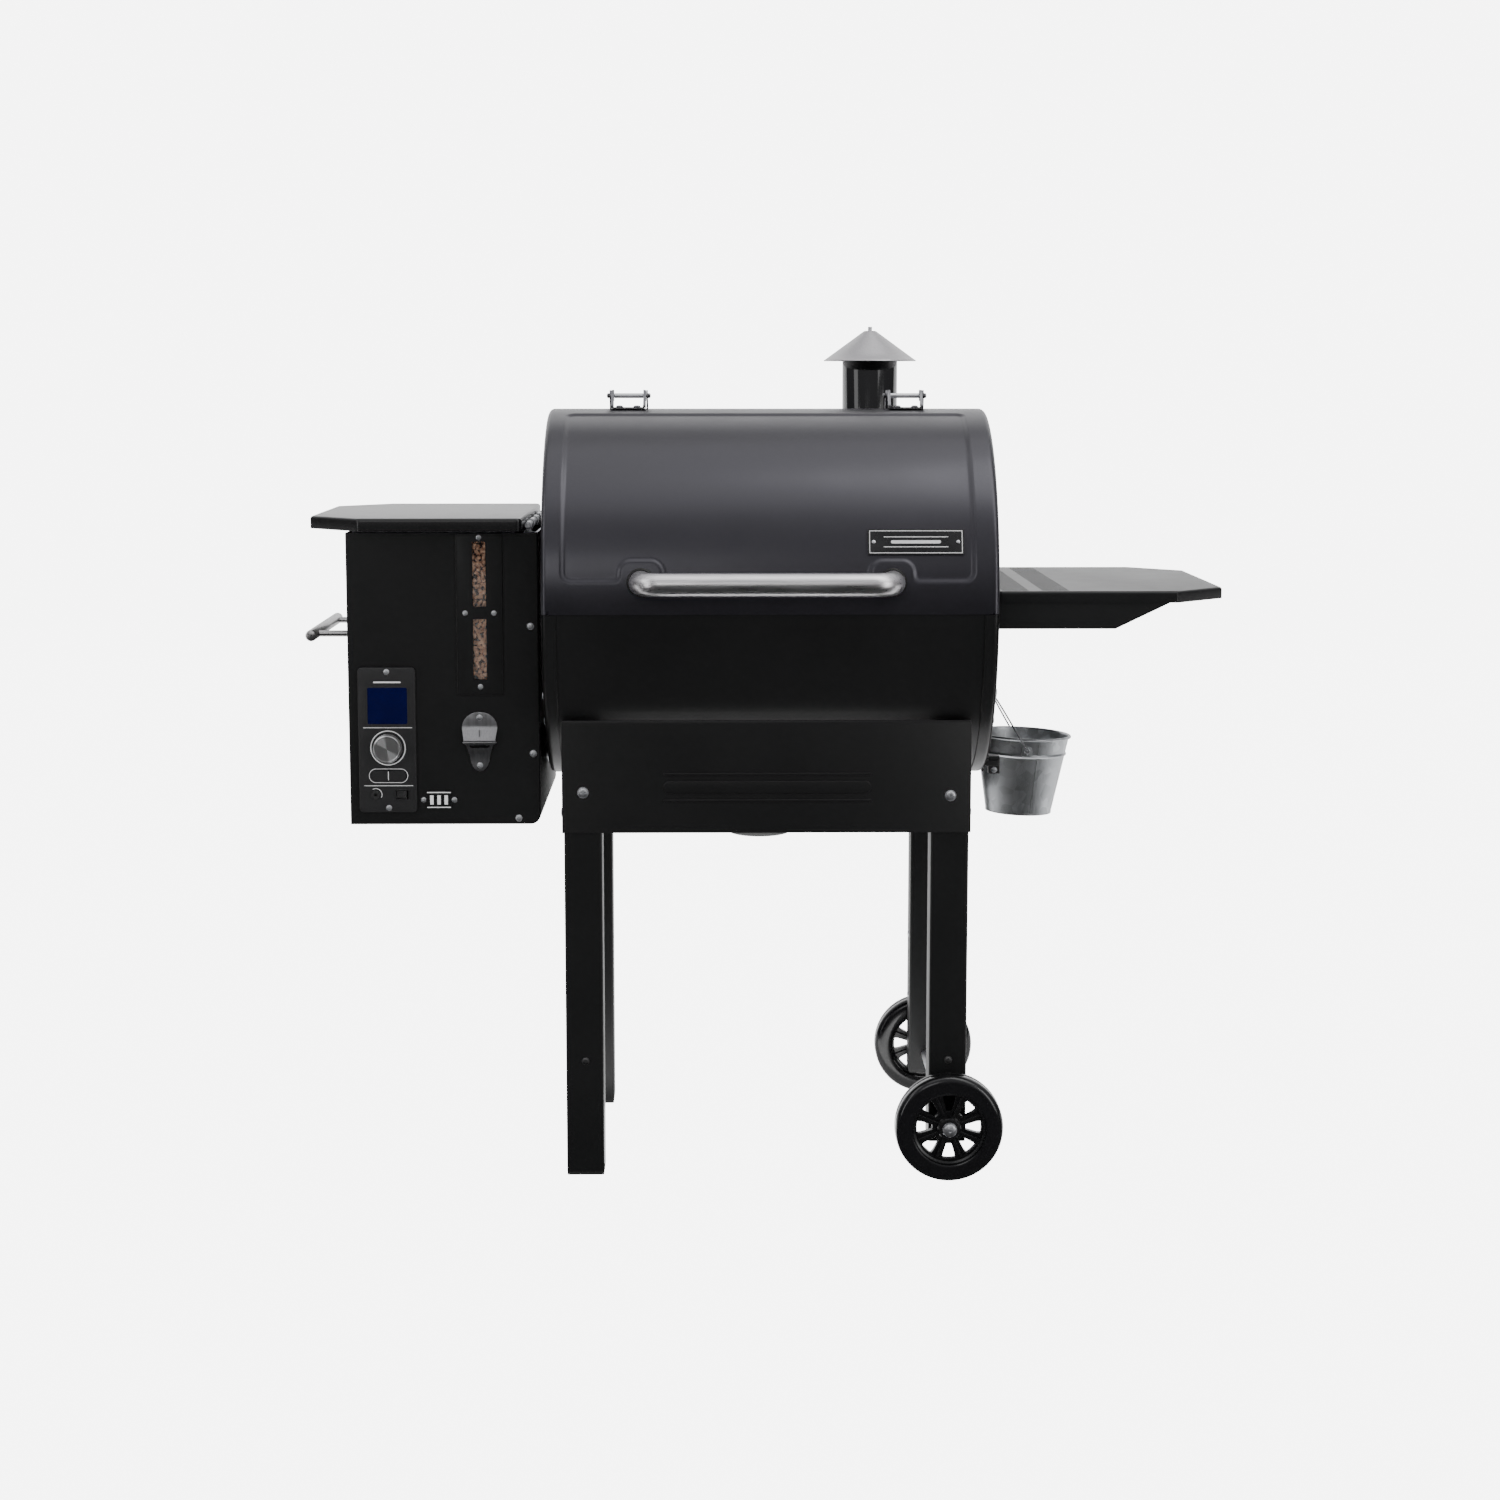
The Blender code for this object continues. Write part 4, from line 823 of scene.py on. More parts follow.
def drum_sector(a0, a1, tip, s, n=160):
    """End cap from angle a0 to a1 (degrees from +Y over the top), flange, corner and plate."""
    flange = [(BARREL_HALF - 0.020, SHELL_R + 0.0003), (BARREL_HALF - 0.020, BARREL_R - 0.0004),
              (BARREL_HALF - 0.0196, BARREL_R)]
    rows = [(s * x, r) for x, r in flange + drum_end(BARREL_HALF, BARREL_R, CORNER_R)]
    angles = [radians(a0 + (a1 - a0) * i / n) for i in range(n + 1)]
    bm = bmesh.new()
    grid = [[bm.verts.new((x, r * cos(a), AXIS_Z + r * sin(a))) for a in angles] for x, r in rows]
    for p, q in zip(grid, grid[1:]):
        for i in range(n):
            bm.faces.new((p[i], p[i + 1], q[i + 1], q[i]))
    end = bm.verts.new((s * BARREL_HALF, *tip))
    bm.faces.new(grid[-1] + [end])
    # inner face of the plate
    deep = BARREL_R - SHEET
    back = [bm.verts.new((s * (BARREL_HALF - SHEET), deep * cos(a), AXIS_Z + deep * sin(a)))
            for a in angles]
    inner_end = bm.verts.new((s * (BARREL_HALF - SHEET), *tip))
    bm.faces.new(back + [inner_end])
    for p, q in ((grid[-1][0], back[0]), (grid[-1][-1], back[-1])):
        bm.faces.new((p, q, inner_end, end))
    return bm


def build_drum():
    n = 180
    loops = []
    for i in range(n + 1):
        a = radians(180.0 + 270.0 * i / n)
        loops.append([(x, r * cos(a), AXIS_Z + r * sin(a))
                      for x, r in rect(-0.3015, 0.3015, SHELL_R - SHEET, SHELL_R)])
    pipe_x, pipe_y, _ = centre("chimney_pipe")
    shell = boolean(loft(loops), rod("z", pipe_x, pipe_y, 0.038, AXIS_Z + 0.1, AXIS_Z + 0.3))
    piece("drum_skin", shell, BLACK_SHEEN, "grill", "barrel_shell", sharp=40)
    front, rear = 180 + SEAM_FRONT + 0.15, 360 + degrees(pi / 2 - (SEAM_Y + 0.0005) / BARREL_R)
    for side, s in (("left", -1), ("right", 1)):
        cap = drum_sector(front, rear, (SEAM_Y + 0.0005, AXIS_Z - 0.0002), s)
        piece(f"end_cap_{side}_skin", cap, BLACK_SHEEN, "grill", f"end_cap_{side}", sharp=40)
    rim = []
    for x, z, s in ((-BARREL_HALF, 1.041, -1), (-BARREL_HALF, 0.683, -1), (-BARREL_HALF, 0.644, -1),
                    (BARREL_HALF, 0.683, 1), (BARREL_HALF, 0.644, 1)):
        y = sqrt((BARREL_R - 0.016) ** 2 - (z - AXIS_Z) ** 2)
        rim.append(((x, -y if z < 0.8 else y, z), (s, 0, 0)))
    for s in (-1, 1):
        rim += [((s * BARREL_HALF, y, z), (s, 0, 0))
                for y, z in ((0.215, 0.90), (0.120, 1.00), (0.20, 0.66))]
    screws("end_cap_screws", 0.0048, rim)
    bolts = [((BARREL_HALF + SHEET, s * 0.2205, 0.787), RIGHT) for s in (-1, 1)]
    screws("shelf_bolts", 0.0040, bolts)


def build_interior():
    def wires(name, node, gap, r, cross, mat, body="grill"):
        x0, x1, y0, y1, z0, z1 = limits(node)
        z = (z0 + z1) / 2
        count = round((x1 - x0) / gap)
        bars = [sweep([(x0 + r + (x1 - x0 - 2 * r) * i / count, y0 + r, z + r * 0.4),
                       (x0 + r + (x1 - x0 - 2 * r) * i / count, y1 - r, z + r * 0.4)], r * 0.8, 10)
                for i in range(count + 1)]
        loop = [(x0 + r, y0 + r), (x1 - r, y0 + r), (x1 - r, y1 - r), (x0 + r, y1 - r)]
        ring = [(u, v, z - r * 0.2) for u, v in plan(loop, 0.0, 0.006, 4)]
        bars.append(sweep(ring + ring[:2], r, 10))
        for v in cross:
            bars.append(sweep([(x0 + r, v, z - r * 0.6), (x1 - r, v, z - r * 0.6)], r, 10))
        piece(name, joined(*bars), mat, body, node)

    wires("cooking_grate_wires", "cooking_grate", 0.0145, 0.0027, (-0.10, 0.10), IRON)
    wires("warming_rack_wires", "warming_rack", 0.0220, 0.0018, (0.095, 0.170), CHROME)
    tabs = []
    for s in (-1, 1):
        tabs += [box(*sorted((s * 0.3005, s * 0.3100)), y - 0.010, y + 0.010, 0.9135, 0.9160)
                 for y in (0.075, 0.190)]
        tabs += [box(*sorted((s * 0.2830, s * 0.3100)), y - 0.015, y + 0.015, 0.7840, 0.7862)
                 for y in (-0.18, 0.18)]
    piece("rack_tabs", joined(*tabs), BLACK, bevel=0.0004)
    x, y, _ = centre("ash_cup")
    x0, x1, _, _, low, high = limits("ash_cup")
    R = (x1 - x0) / 2
    cup = [(0.0, low)] + [(R - 0.018 + 0.018 * sin(radians(a)), low + 0.018 - 0.018 * cos(radians(a)))
                          for a in range(0, 91, 10)]
    cup += [(R, high - 0.001), (R - 0.0008, high), (R - 0.0016, high - 0.001), (R - 0.0016, low + 0.018),
            (R - 0.0060, low + 0.0080), (R - 0.019, low + 0.0020), (0.0, low + 0.0018)]
    piece("ash_cup_body", lathe(cup, "z", x, y, 64), BLACK, "cup", "ash_cup")


def build_chimney():
    x, y, _ = centre("chimney_cap")
    x0, x1, _, _, _, z1 = limits("chimney_pipe")
    R = (x1 - x0) / 2
    n = 72
    foot_r = SHELL_R + 0.0002

    def fit(r, a, lift):
        """Point of a ring about the pipe that follows the round of the drum."""
        yy = y + r * sin(a)
        return (x + r * cos(a), yy, AXIS_Z + sqrt((foot_r + lift) ** 2 - yy * yy))

    foot = ((0.0085, 0.0), (0.0085, 0.0012), (0.0040, 0.0016), (0.0012, 0.0030), (0.0, 0.0060))
    loops = [[fit(R + flare, 2 * pi * i / n, lift) for i in range(n)] for flare, lift in foot]
    mouth = ((R, z1 - 0.0010), (R - 0.0005, z1), (R - SHEET, z1), (R - SHEET, z1 - 0.090))
    loops += [hoop("z", x, y, r, z, n) for r, z in mouth]
    piece("chimney_pipe_skin", loft(loops, caps=False), PIPE, "grill", "chimney_pipe", sharp=50)

    _, _, _, _, s0, s1 = limits("chimney_stud")
    turns = 150
    thread = [hoop("z", x, y, 0.0030 + 0.0002 * (k % 2), s0 + (s1 - s0) * k / turns, 16)
              for k in range(turns + 1)]
    reach = R - 0.0021
    bar = box(x - reach, x + reach, y - 0.008, y + 0.008, 1.090, 1.093)
    nuts = [prism(circle(x, y, 0.0058, 6), "z", low, high)
            for low, high in ((1.0932, 1.0975), (1.1793, 1.1833))]
    piece("chimney_stud_thread", joined(loft(thread), bar, *nuts), BRIGHT, "grill",
          "chimney_stud", sharp=50)

    cx0, cx1, _, _, c0, c1 = limits("chimney_cap")
    CR = (cx1 - cx0) / 2
    cone = [(0.0040, c1 - 0.0004), (0.0078, c1), (0.0088, c1 - 0.0004), (0.0100, c1 - 0.0011)]
    cone += [(0.0100 + (CR - 0.0120) * t, c1 - 0.0011 - (c1 - c0 - 0.0036) * t)
             for t in (0.25, 0.5, 0.75, 1.0)]
    cone += [(CR - 0.0006, c0 + 0.0020), (CR, c0 + 0.0010), (CR - 0.0008, c0), (CR - 0.0026, c0 + 0.0012)]
    cone += [(0.0092, c1 - 0.0024), (0.0040, c1 - 0.0018)]
    piece("chimney_cone", lathe(cone, "z", x, y, 96), CONE, "cowl", "chimney_cap", sharp=25)


# ---- lid furniture -----------------------------------------------------------------------------
def build_lid_furniture():
    bend, start = 0.030, -0.2590
    path = [(HANDLE_HALF, start, HANDLE_Z), (HANDLE_HALF, HANDLE_Y + bend, HANDLE_Z)]
    path += [(u, v, HANDLE_Z) for u, v in arc(HANDLE_HALF - bend, HANDLE_Y + bend, bend, 0, -90, 12)[1:]]
    path += [(HANDLE_HALF - bend - 0.05, HANDLE_Y, HANDLE_Z), (0.06, HANDLE_Y, HANDLE_Z)]
    path = [(HANDLE_X + x, y, z) for x, y, z in path] + [(HANDLE_X - x, y, z) for x, y, z in path[::-1]]
    piece("lid_handle_tube", sweep(path, HANDLE_R, 48), STEEL_X, "lid", "lid_handle", sharp=50)
    cups = []
    tilt = (HANDLE_Z - AXIS_Z) / BARREL_R
    cup_y = -sqrt(BARREL_R ** 2 - (HANDLE_Z - AXIS_Z) ** 2) - 0.0006
    for s in (-1, 1):
        ring = [(0.0163, -0.0010), (0.0192, -0.0010), (0.0196, 0.0004), (0.0190, 0.0016), (0.0176, 0.0026),
                (0.0163, 0.0030)]
        cup = lathe(ring, "z", 0.0, 0.0, 48)
        cup.transform(facing((HANDLE_X + s * HANDLE_HALF, cup_y, HANDLE_Z),
                             (0, -cos(tilt), sin(tilt) * 0.6)))
        cups.append(cup)
    piece("lid_handle_cups", joined(*cups), BLACK, "lid", sharp=35)

    # blank name plate on the pressed panel
    px0, px1, _, _, _, _ = limits("name_plate")
    cx, cz = (px0 + px1) / 2, 0.896
    reach = BARREL_R - PANEL_DEPTH
    lift = (cz - AXIS_Z) / reach
    a = atan2(lift, sqrt(1 - lift * lift))
    seat = facing((cx, -reach * cos(a), AXIS_Z + reach * sin(a)), (0, -cos(a), sin(a)))
    hw, hh = (px1 - px0) / 2, 0.018
    body = plate(rect(-hw, hw, -hh, hh), "z", 0.0011, 0.0027, 0.0012, 0.0004, 3)
    body.transform(seat)
    piece("name_plate_blank", body, PLATE, "lid", "name_plate", sharp=35)
    low, high, w = 0.0026, 0.0031, 0.0010
    u, v = hw - 0.0020, hh - 0.0020
    rim = [box(-u, u, v - w, v, low, high), box(-u, u, -v, w - v, low, high),
           box(-u, w - u, w - v, v - w, low, high), box(u - w, u, w - v, v - w, low, high)]
    rim += [box(-0.044, 0.044, d - 0.0005, d + 0.0005, low, high) for d in (-0.0070, 0.0070)]
    rim += [plate(rect(-0.034, 0.034, -0.0022, 0.0022), "z", low, high, 0.0021, 0.0001, 6)]
    line = joined(*rim)
    line.transform(seat)
    piece("name_plate_lines", line, WHITE, "lid", sharp=30)
    rivet = lathe([(0.0, 0.0), (0.0026, 0.0), (0.0024, 0.0008), (0.0014, 0.0014), (0.0, 0.0016)],
                  "z", 0, 0, 20)
    spots = [seat @ Matrix.Translation((s * 0.0575, 0, 0.0027)) for s in (-1, 1)]
    piece("name_plate_rivets", copies(rivet, spots), BRIGHT, "lid")

    # hinge screws and pin ends
    top = AXIS_Z + BARREL_R
    arm_screws, seat_screws, balls = [], [], []
    seat_y = 0.032
    seat_z = AXIS_Z + sqrt(SHELL_R ** 2 - seat_y ** 2) + 0.0024
    for x in (-HINGE_X, HINGE_X):
        arm_screws += [((x + d, -0.018, top + 0.0020), UP) for d in (-0.0125, 0.0125)]
        seat_screws += [((x + d, seat_y, seat_z), (0, seat_y / SHELL_R, 1)) for d in (-0.014, 0.014)]
        for s in (-1, 1):
            ball = lathe([(0.0, -0.0005), (0.0034, 0.0), (0.0038, 0.0012), (0.0034, 0.0028),
                          (0.0018, 0.0038), (0.0, 0.0041)], "z", 0, 0, 24)
            ball.transform(facing((x + s * 0.0277, PIN_Y, PIN_Z), (s, 0, 0)))
            balls.append(ball)
    ear = [(-0.026, top + 0.0012), (-0.006, top + 0.0012), (-0.005, PIN_Z - 0.0080)]
    ear += arc(PIN_Y, PIN_Z, 0.0082, -60, 160, 14) + [(-0.012, top + 0.0055), (-0.026, top + 0.0040)]
    cheeks, sleeves = [], []
    for x in (-HINGE_X, HINGE_X):
        for s in (-1, 1):
            cheek = prism(ear, "x", *sorted((x + s * 0.0231, x + s * 0.0251)))
            cheeks.append(boolean(cheek, rod("x", PIN_Y, PIN_Z, 0.0034, x - 0.03, x + 0.03, 24)))
        sleeves.append(lathe(rect(0.0026, 0.0036, x - 0.0205, x + 0.0205), "x", PIN_Y, PIN_Z, 24))
    piece("hinge_ear_cheeks", joined(*cheeks), HINGE, "lid", sharp=35)
    piece("hinge_pin_sleeves", joined(*sleeves), BRIGHT, sharp=35)
    screws("hinge_arm_screws", 0.0050, arm_screws, "lid", HINGE, 0.6)
    screws("hinge_seat_screws", 0.0042, seat_screws)
    piece("hinge_pin_ends", joined(*balls), HINGE)


# ---- side shelf and bucket ---------------------------------------------------------------------
def build_shelf():
    x0, x1, y0, y1, z0, z1 = limits("side_shelf")
    c = 0.074
    corners = [(x0, y0), (x1 - c, y0), (x1, y0 + c), (x1, y1 - c), (x1 - c, y1), (x0, y1)]
    top = tray(corners, z0, z1, SHEET, 0.0040, 0.0050)
    slots, pitch = [], 0.0095
    count = int((y1 - y0 - 0.022) / pitch)
    for xa, xb in ((x0 + 0.0050, x0 + 0.0430), (x0 + 0.0605, x0 + 0.0985)):
        for k in range(count + 1):
            y = (k - count / 2) * pitch
            slots.append(prism(plan(rect(xa, xb, y - 0.0021, y + 0.0021), 0.0, 0.0020, 3),
                               "z", z1 - 0.004, z1 + 0.004))
    piece("side_shelf_tray", boolean(top, joined(*slots)), BLACK_SHEEN, "grill", "side_shelf", sharp=25)
    low = z1 - 0.0026
    under = [box(x0 + 0.003, x1 - 0.012, y - 0.006, y + 0.006, low - 0.010, low)
             for y in (-0.110, 0.110)]
    piece("shelf_ribs", joined(*under), BLACK, bevel=0.0006)


def joint_place(name):
    """A joint's anchor in the working frame."""
    return Vector(next(j for j in frame["joints"] if j["name"] == name)["pos_m"]) - ORIGIN


def build_bucket():
    ear = joint_place("bucket_swing")
    R, R0, high = 0.0735, 0.0490, 0.120
    top = ear.z + 0.019
    low = top - high
    wall = 0.0009
    grow = (R - 0.0028 - R0) / high

    def rad(z):
        return R0 + grow * (z - low)

    prof = [(0.0, low + 0.0030), (R0 - 0.0035, low + 0.0030), (R0 - 0.0020, low + 0.0010),
            (R0 - 0.0010, low), (R0 + 0.0006, low + 0.0004), (R0 + 0.0008, low + 0.0030),
            (rad(low + 0.0045), low + 0.0045)]
    band = top - 0.0285
    prof += [(rad(band - 0.0030), band - 0.0030), (rad(band) + 0.0014, band - 0.0015),
             (rad(band) + 0.0020, band), (rad(band) + 0.0014, band + 0.0015),
             (rad(band + 0.0030), band + 0.0030), (rad(top - 0.0052), top - 0.0052)]
    prof += [(R - 0.0022 + 0.0022 * cos(radians(a)), top - 0.0024 + 0.0022 * sin(radians(a)))
             for a in range(-100, 161, 26)]
    prof += [(rad(top - 0.004) - wall, top - 0.0040), (rad(low + 0.004) - wall, low + 0.0045),
             (0.0, low + 0.0040)]
    pail = lathe(prof, "z", ear.x, ear.y, 96)
    # lapped seam down one side
    a = radians(-73)
    du, dv = Vector((cos(a), sin(a))), Vector((-sin(a), cos(a)))
    lap = ((-0.0003, -0.0030), (0.0007, -0.0028), (0.0008, 0.0028), (-0.0003, 0.0030))
    loops = []
    for z in (low + 0.004, top - 0.006):
        pts = [du * (rad(z) + d) + dv * w for d, w in lap]
        loops.append([(ear.x + p.x, ear.y + p.y, z) for p in pts])
    pail = joined(pail, loft(loops))
    lugs = []
    for s in (-1, 1):
        y = ear.y + s * (rad(ear.z) - 0.0004)
        outline = rect(ear.x - 0.0085, ear.x + 0.0085, ear.z - 0.0100, ear.z + 0.0065)
        patch = plate(plan(outline, 0, 0.006, 4), "y", y, y + s * 0.0016, 0.0005, 0.0006, 1)
        loop = [(ear.x + 0.0036 * cos(radians(a)), y + s * 0.0022, ear.z + 0.0036 * sin(radians(a)))
                for a in range(0, 361, 24)]
        lugs += [patch, sweep(loop, 0.0010, 8, (0, 1, 0)),
                 rod("y", ear.x, ear.z - 0.0065, 0.0018, *sorted((y, y + s * 0.0024)), 16, 0.0005)]
    pail = joined(pail, *lugs)
    lean = Matrix.Translation(ear) @ Matrix.Rotation(radians(2.5), 4, "Y") @ Matrix.Translation(-ear)
    pail.transform(lean)
    piece("grease_pail", pail, ZINC, "bucket", "grease_bucket", sharp=38)

    hook = joint_place("bail_swing")
    span = R + 0.0020
    up = Vector((hook.x - ear.x, 0, hook.z - ear.z))
    half = [(span - 0.0052, 0.0), (span - 0.0022, -0.045), (span + 0.0004, -0.012), (span, 0.15),
            (span, 0.30)]
    half += [(span * cos(radians(b)), 0.30 + 0.70 * sin(radians(b)))
             for b in (12, 24, 36, 48, 60, 72, 82)]
    pts = [(-w, t) for w, t in half] + [(0.0, 1.0)] + half[::-1]
    pts = [Vector((ear.x, ear.y + w, ear.z)) + up * t for w, t in pts]
    piece("bail_wire", sweep(smooth_path(pts, 6), 0.0012, 12, (1, 0, 0)), HINGE, "bail", "bucket_bail")

    # small black clamp with a bright screw on the lower edge of the right end cap
    cx = BARREL_HALF + 0.0006
    y, z = -0.020, 0.5610
    clamp = [box(cx, cx + 0.0022, y - 0.016, y + 0.016, z - 0.012, z + 0.020),
             box(cx, cx + 0.024, y - 0.013, y + 0.013, z - 0.004, z + 0.004),
             box(cx + 0.010, cx + 0.026, y - 0.010, y + 0.010, z - 0.016, z + 0.010)]
    piece("cap_clamp", joined(*clamp), PLASTIC, bevel=0.0010)
    screws("cap_clamp_screw", 0.0036, [((cx + 0.018, y - 0.0100, z - 0.010), FRONT)])


# ---- hopper ------------------------------------------------------------------------------------
def build_hopper():
    x0, x1, y0, y1, z0, z1 = limits("hopper_box")
    R, r, t = 0.014, 0.0028, SHEET

    def ring(d, y):
        """Front outline of the case with its round lower right corner, moved inwards by d."""
        pts = [(x0 + d, z0 + d), (x1 - R, z0 + d)]
        pts += [(x1 - R + (R - d) * sin(radians(a)), z0 + R - (R - d) * cos(radians(a)))
                for a in range(10, 91, 10)]
        pts += [(x1 - d, z1), (x0 + d, z1)]
        return [(u, y, v) for u, v in pts]

    steps = [(r * (1 - sin(pi / 2 * k / 5)), y0 + r * (1 - cos(pi / 2 * k / 5))) for k in range(6)]
    shell = loft([ring(d, y) for d, y in steps] + [ring(d, -y) for d, y in steps[::-1]])
    core = [(x0 + t, z0 + t), (x1 - t - 0.010, z0 + t), (x1 - t, z0 + t + 0.010),
            (x1 - t, z1 + 0.02), (x0 + t, z1 + 0.02)]
    shell = boolean(shell, prism(core, "y", y0 + t, y1 - t))
    wx, _, _ = centre("window_frame")
    px0, px1, _, _, pz0, pz1 = limits("control_panel")
    cutters = joined(box(wx - 0.0135, wx + 0.0135, y0 - 0.01, y0 + 0.01, 0.695, 0.902),
                     box(px0 + 0.010, px1 - 0.010, y0 - 0.01, y0 + 0.01,
                         pz0 + 0.012, pz1 - 0.012))
    piece("hopper_case", boolean(shell, cutters), BLACK, "grill", "hopper_box", sharp=30)
    spots = [((x, y0, z), FRONT) for x, z in ((-0.331, 0.777), (-0.329, 0.599), (-0.350, 0.508))]
    screws("hopper_front_screws", 0.0040, spots)
    side = [((x0, s * 0.150, z), LEFT) for s in (-1, 1) for z in (0.540, 0.700, 0.850)]
    screws("hopper_side_screws", 0.0040, side)
    back = [((x, y1, z), REAR) for x in (x0 + 0.018, x1 - 0.018) for z in (0.530, 0.700, 0.870)]
    screws("hopper_rear_screws", 0.0040, back)
    vent = [plate(rect(-0.500, -0.410, 0.548 + k * 0.010, 0.5525 + k * 0.010), "y", y1, y1 + 0.0018,
                  0.0021, 0.0016, 4) for k in range(9)]
    inlet = plate(rect(-0.372, -0.340, 0.560, 0.590), "y", y1, y1 + 0.0026, 0.003, 0.0010, 4)
    piece("rear_louvres", joined(*vent), BLACK, sharp=30)
    mouth = box(-0.366, -0.346, y1 + 0.0020, y1 + 0.0030, 0.567, 0.583)
    piece("power_inlet", inlet, PLASTIC, sharp=30)
    piece("power_inlet_mouth", mouth, RUBBER, bevel=0.0003)


def build_hopper_lid():
    x0, _, y0, y1, z0, _ = limits("hopper_lid")
    c, x1, z1 = 0.075, -0.3404, 0.927
    corners = [(x1, y0), (x1, y1), (x0 + c, y1), (x0, y1 - c), (x0, y0 + c), (x0 + c, y0)]
    lid = tray(corners, z0, z1, SHEET, 0.0045, 0.0080, 10)
    hx, hz = -0.334, 0.915
    knuckles = []
    for y in (-0.075, 0.075):
        knuckles.append(lathe(rect(0.0034, 0.0055, y - 0.020, y + 0.020), "y", hx, hz, 28))
        knuckles.append(box(x1 - 0.001, hx - 0.0034, y - 0.020, y + 0.020, hz - 0.001, hz + 0.002))
    piece("hopper_lid_tray", lid, BLACK_GLOSS, "hopper_cover", "hopper_lid", sharp=25)
    strip = plate(rect(x1 + 0.0012, -0.3212, y0 + 0.026, y1 - 0.026), "z", 0.9063, 0.9075,
                  0.002, 0.0004, 3)
    piece("hopper_hinge_strip", strip, BRIGHT)
    piece("hopper_lid_knuckles", joined(*knuckles), BRIGHT, "hopper_cover", sharp=35)


def build_window():
    x0, x1, y0, y1, z0, z1 = limits("window_frame")
    cx = (x0 + x1) / 2
    frame_bm = plate(rect(x0, x1, z0, z1), "y", y1, y0, 0.0030, 0.0012, 4)
    gaps = [prism(plan(rect(cx - 0.00925, cx + 0.00925, a, b), 0, 0.0012, 3), "y", y0 - 0.01, y1 + 0.01)
            for a, b in ((0.703, 0.787), (0.804, 0.894))]
    piece("window_plate", boolean(frame_bm, joined(*gaps)), BLACK, "grill", "window_frame", sharp=30)
    spots = [((cx, y0, z), FRONT) for z in (0.900, 0.693)]
    spots += [((cx + s * 0.0199, y0, 0.7955), FRONT) for s in (-1, 1)]
    screws("window_screws", 0.0030, spots)


def pellet(length, r):
    """Short pressed-wood cylinder with broken, slightly rounded ends."""
    rows = [(-0.5, 0.72), (-0.46, 1.0), (0.0, 0.97), (0.46, 1.0), (0.5, 0.7)]
    return loft([hoop("z", 0.0, 0.0, wide * r, w * length, 8) for w, wide in rows])


def build_pellets():
    """A heap that fills the bin to below its rim, with loose pellets at the glass and on top; the heap and
    the back layer at the glass are painted in shaded wood colours.
    """
    cx, _, _ = centre("window_frame")
    glass = limits("window_pane")[3]
    rng = random.Random(7)
    top, right, half = 0.868, -0.3535, 0.178
    upper = prism(rect(-0.572, right, -half - 0.0035, half + 0.0035), "z", 0.805, top - 0.006)
    lower = loft([[(u, v, 0.704) for u, v in rect(-0.496, -0.3485, -0.098, 0.098)],
                  [(u, v, 0.7945) for u, v in rect(-0.570, right, -half, half)]])
    # the heap body is coloured with the darkest shaded wood: painted shade deep in the bin
    piece("pellet_heap", joined(upper, lower), PELLET_SHADE, sharp=30)

    out, behind = bmesh.new(), bmesh.new()

    def lay(out, place, spread):
        """Add one pellet; spread is how far it may point towards the glass."""
        bm = pellet(rng.uniform(0.0065, 0.0120), rng.uniform(0.0027, 0.0033))
        way = Vector((rng.uniform(-1, 1), rng.uniform(-spread, spread), rng.uniform(-1.3, 1.3)))
        bm.transform(facing(place, way.normalized()))
        pour(bm, out)

    # the second layer, behind the first, takes the half-shaded wood: painted shade between the front
    # pellets
    for layer, depth, step in ((out, 0.0040, 0.0078), (behind, 0.0092, 0.0070)):
        for row in range(int(0.212 / step)):
            for col in range(4):
                across = -0.0108 + 0.0072 * col + (0.0026 if row % 2 else -0.0010)
                place = (cx + across + rng.uniform(-0.0014, 0.0014),
                         glass + depth + rng.uniform(0.0, 0.0016),
                         0.692 + step * row + rng.uniform(-0.0016, 0.0016))
                lay(layer, place, 0.35)
    for _ in range(700):
        lay(out, (rng.uniform(-0.565, -0.360), rng.uniform(-0.172, 0.172),
                  top - 0.004 + rng.uniform(-0.002, 0.003)), 1.0)
    piece("pellets_loose", out, PELLET, sharp=60)
    piece("pellets_behind", behind, PELLET_HALF_SHADE, sharp=60)


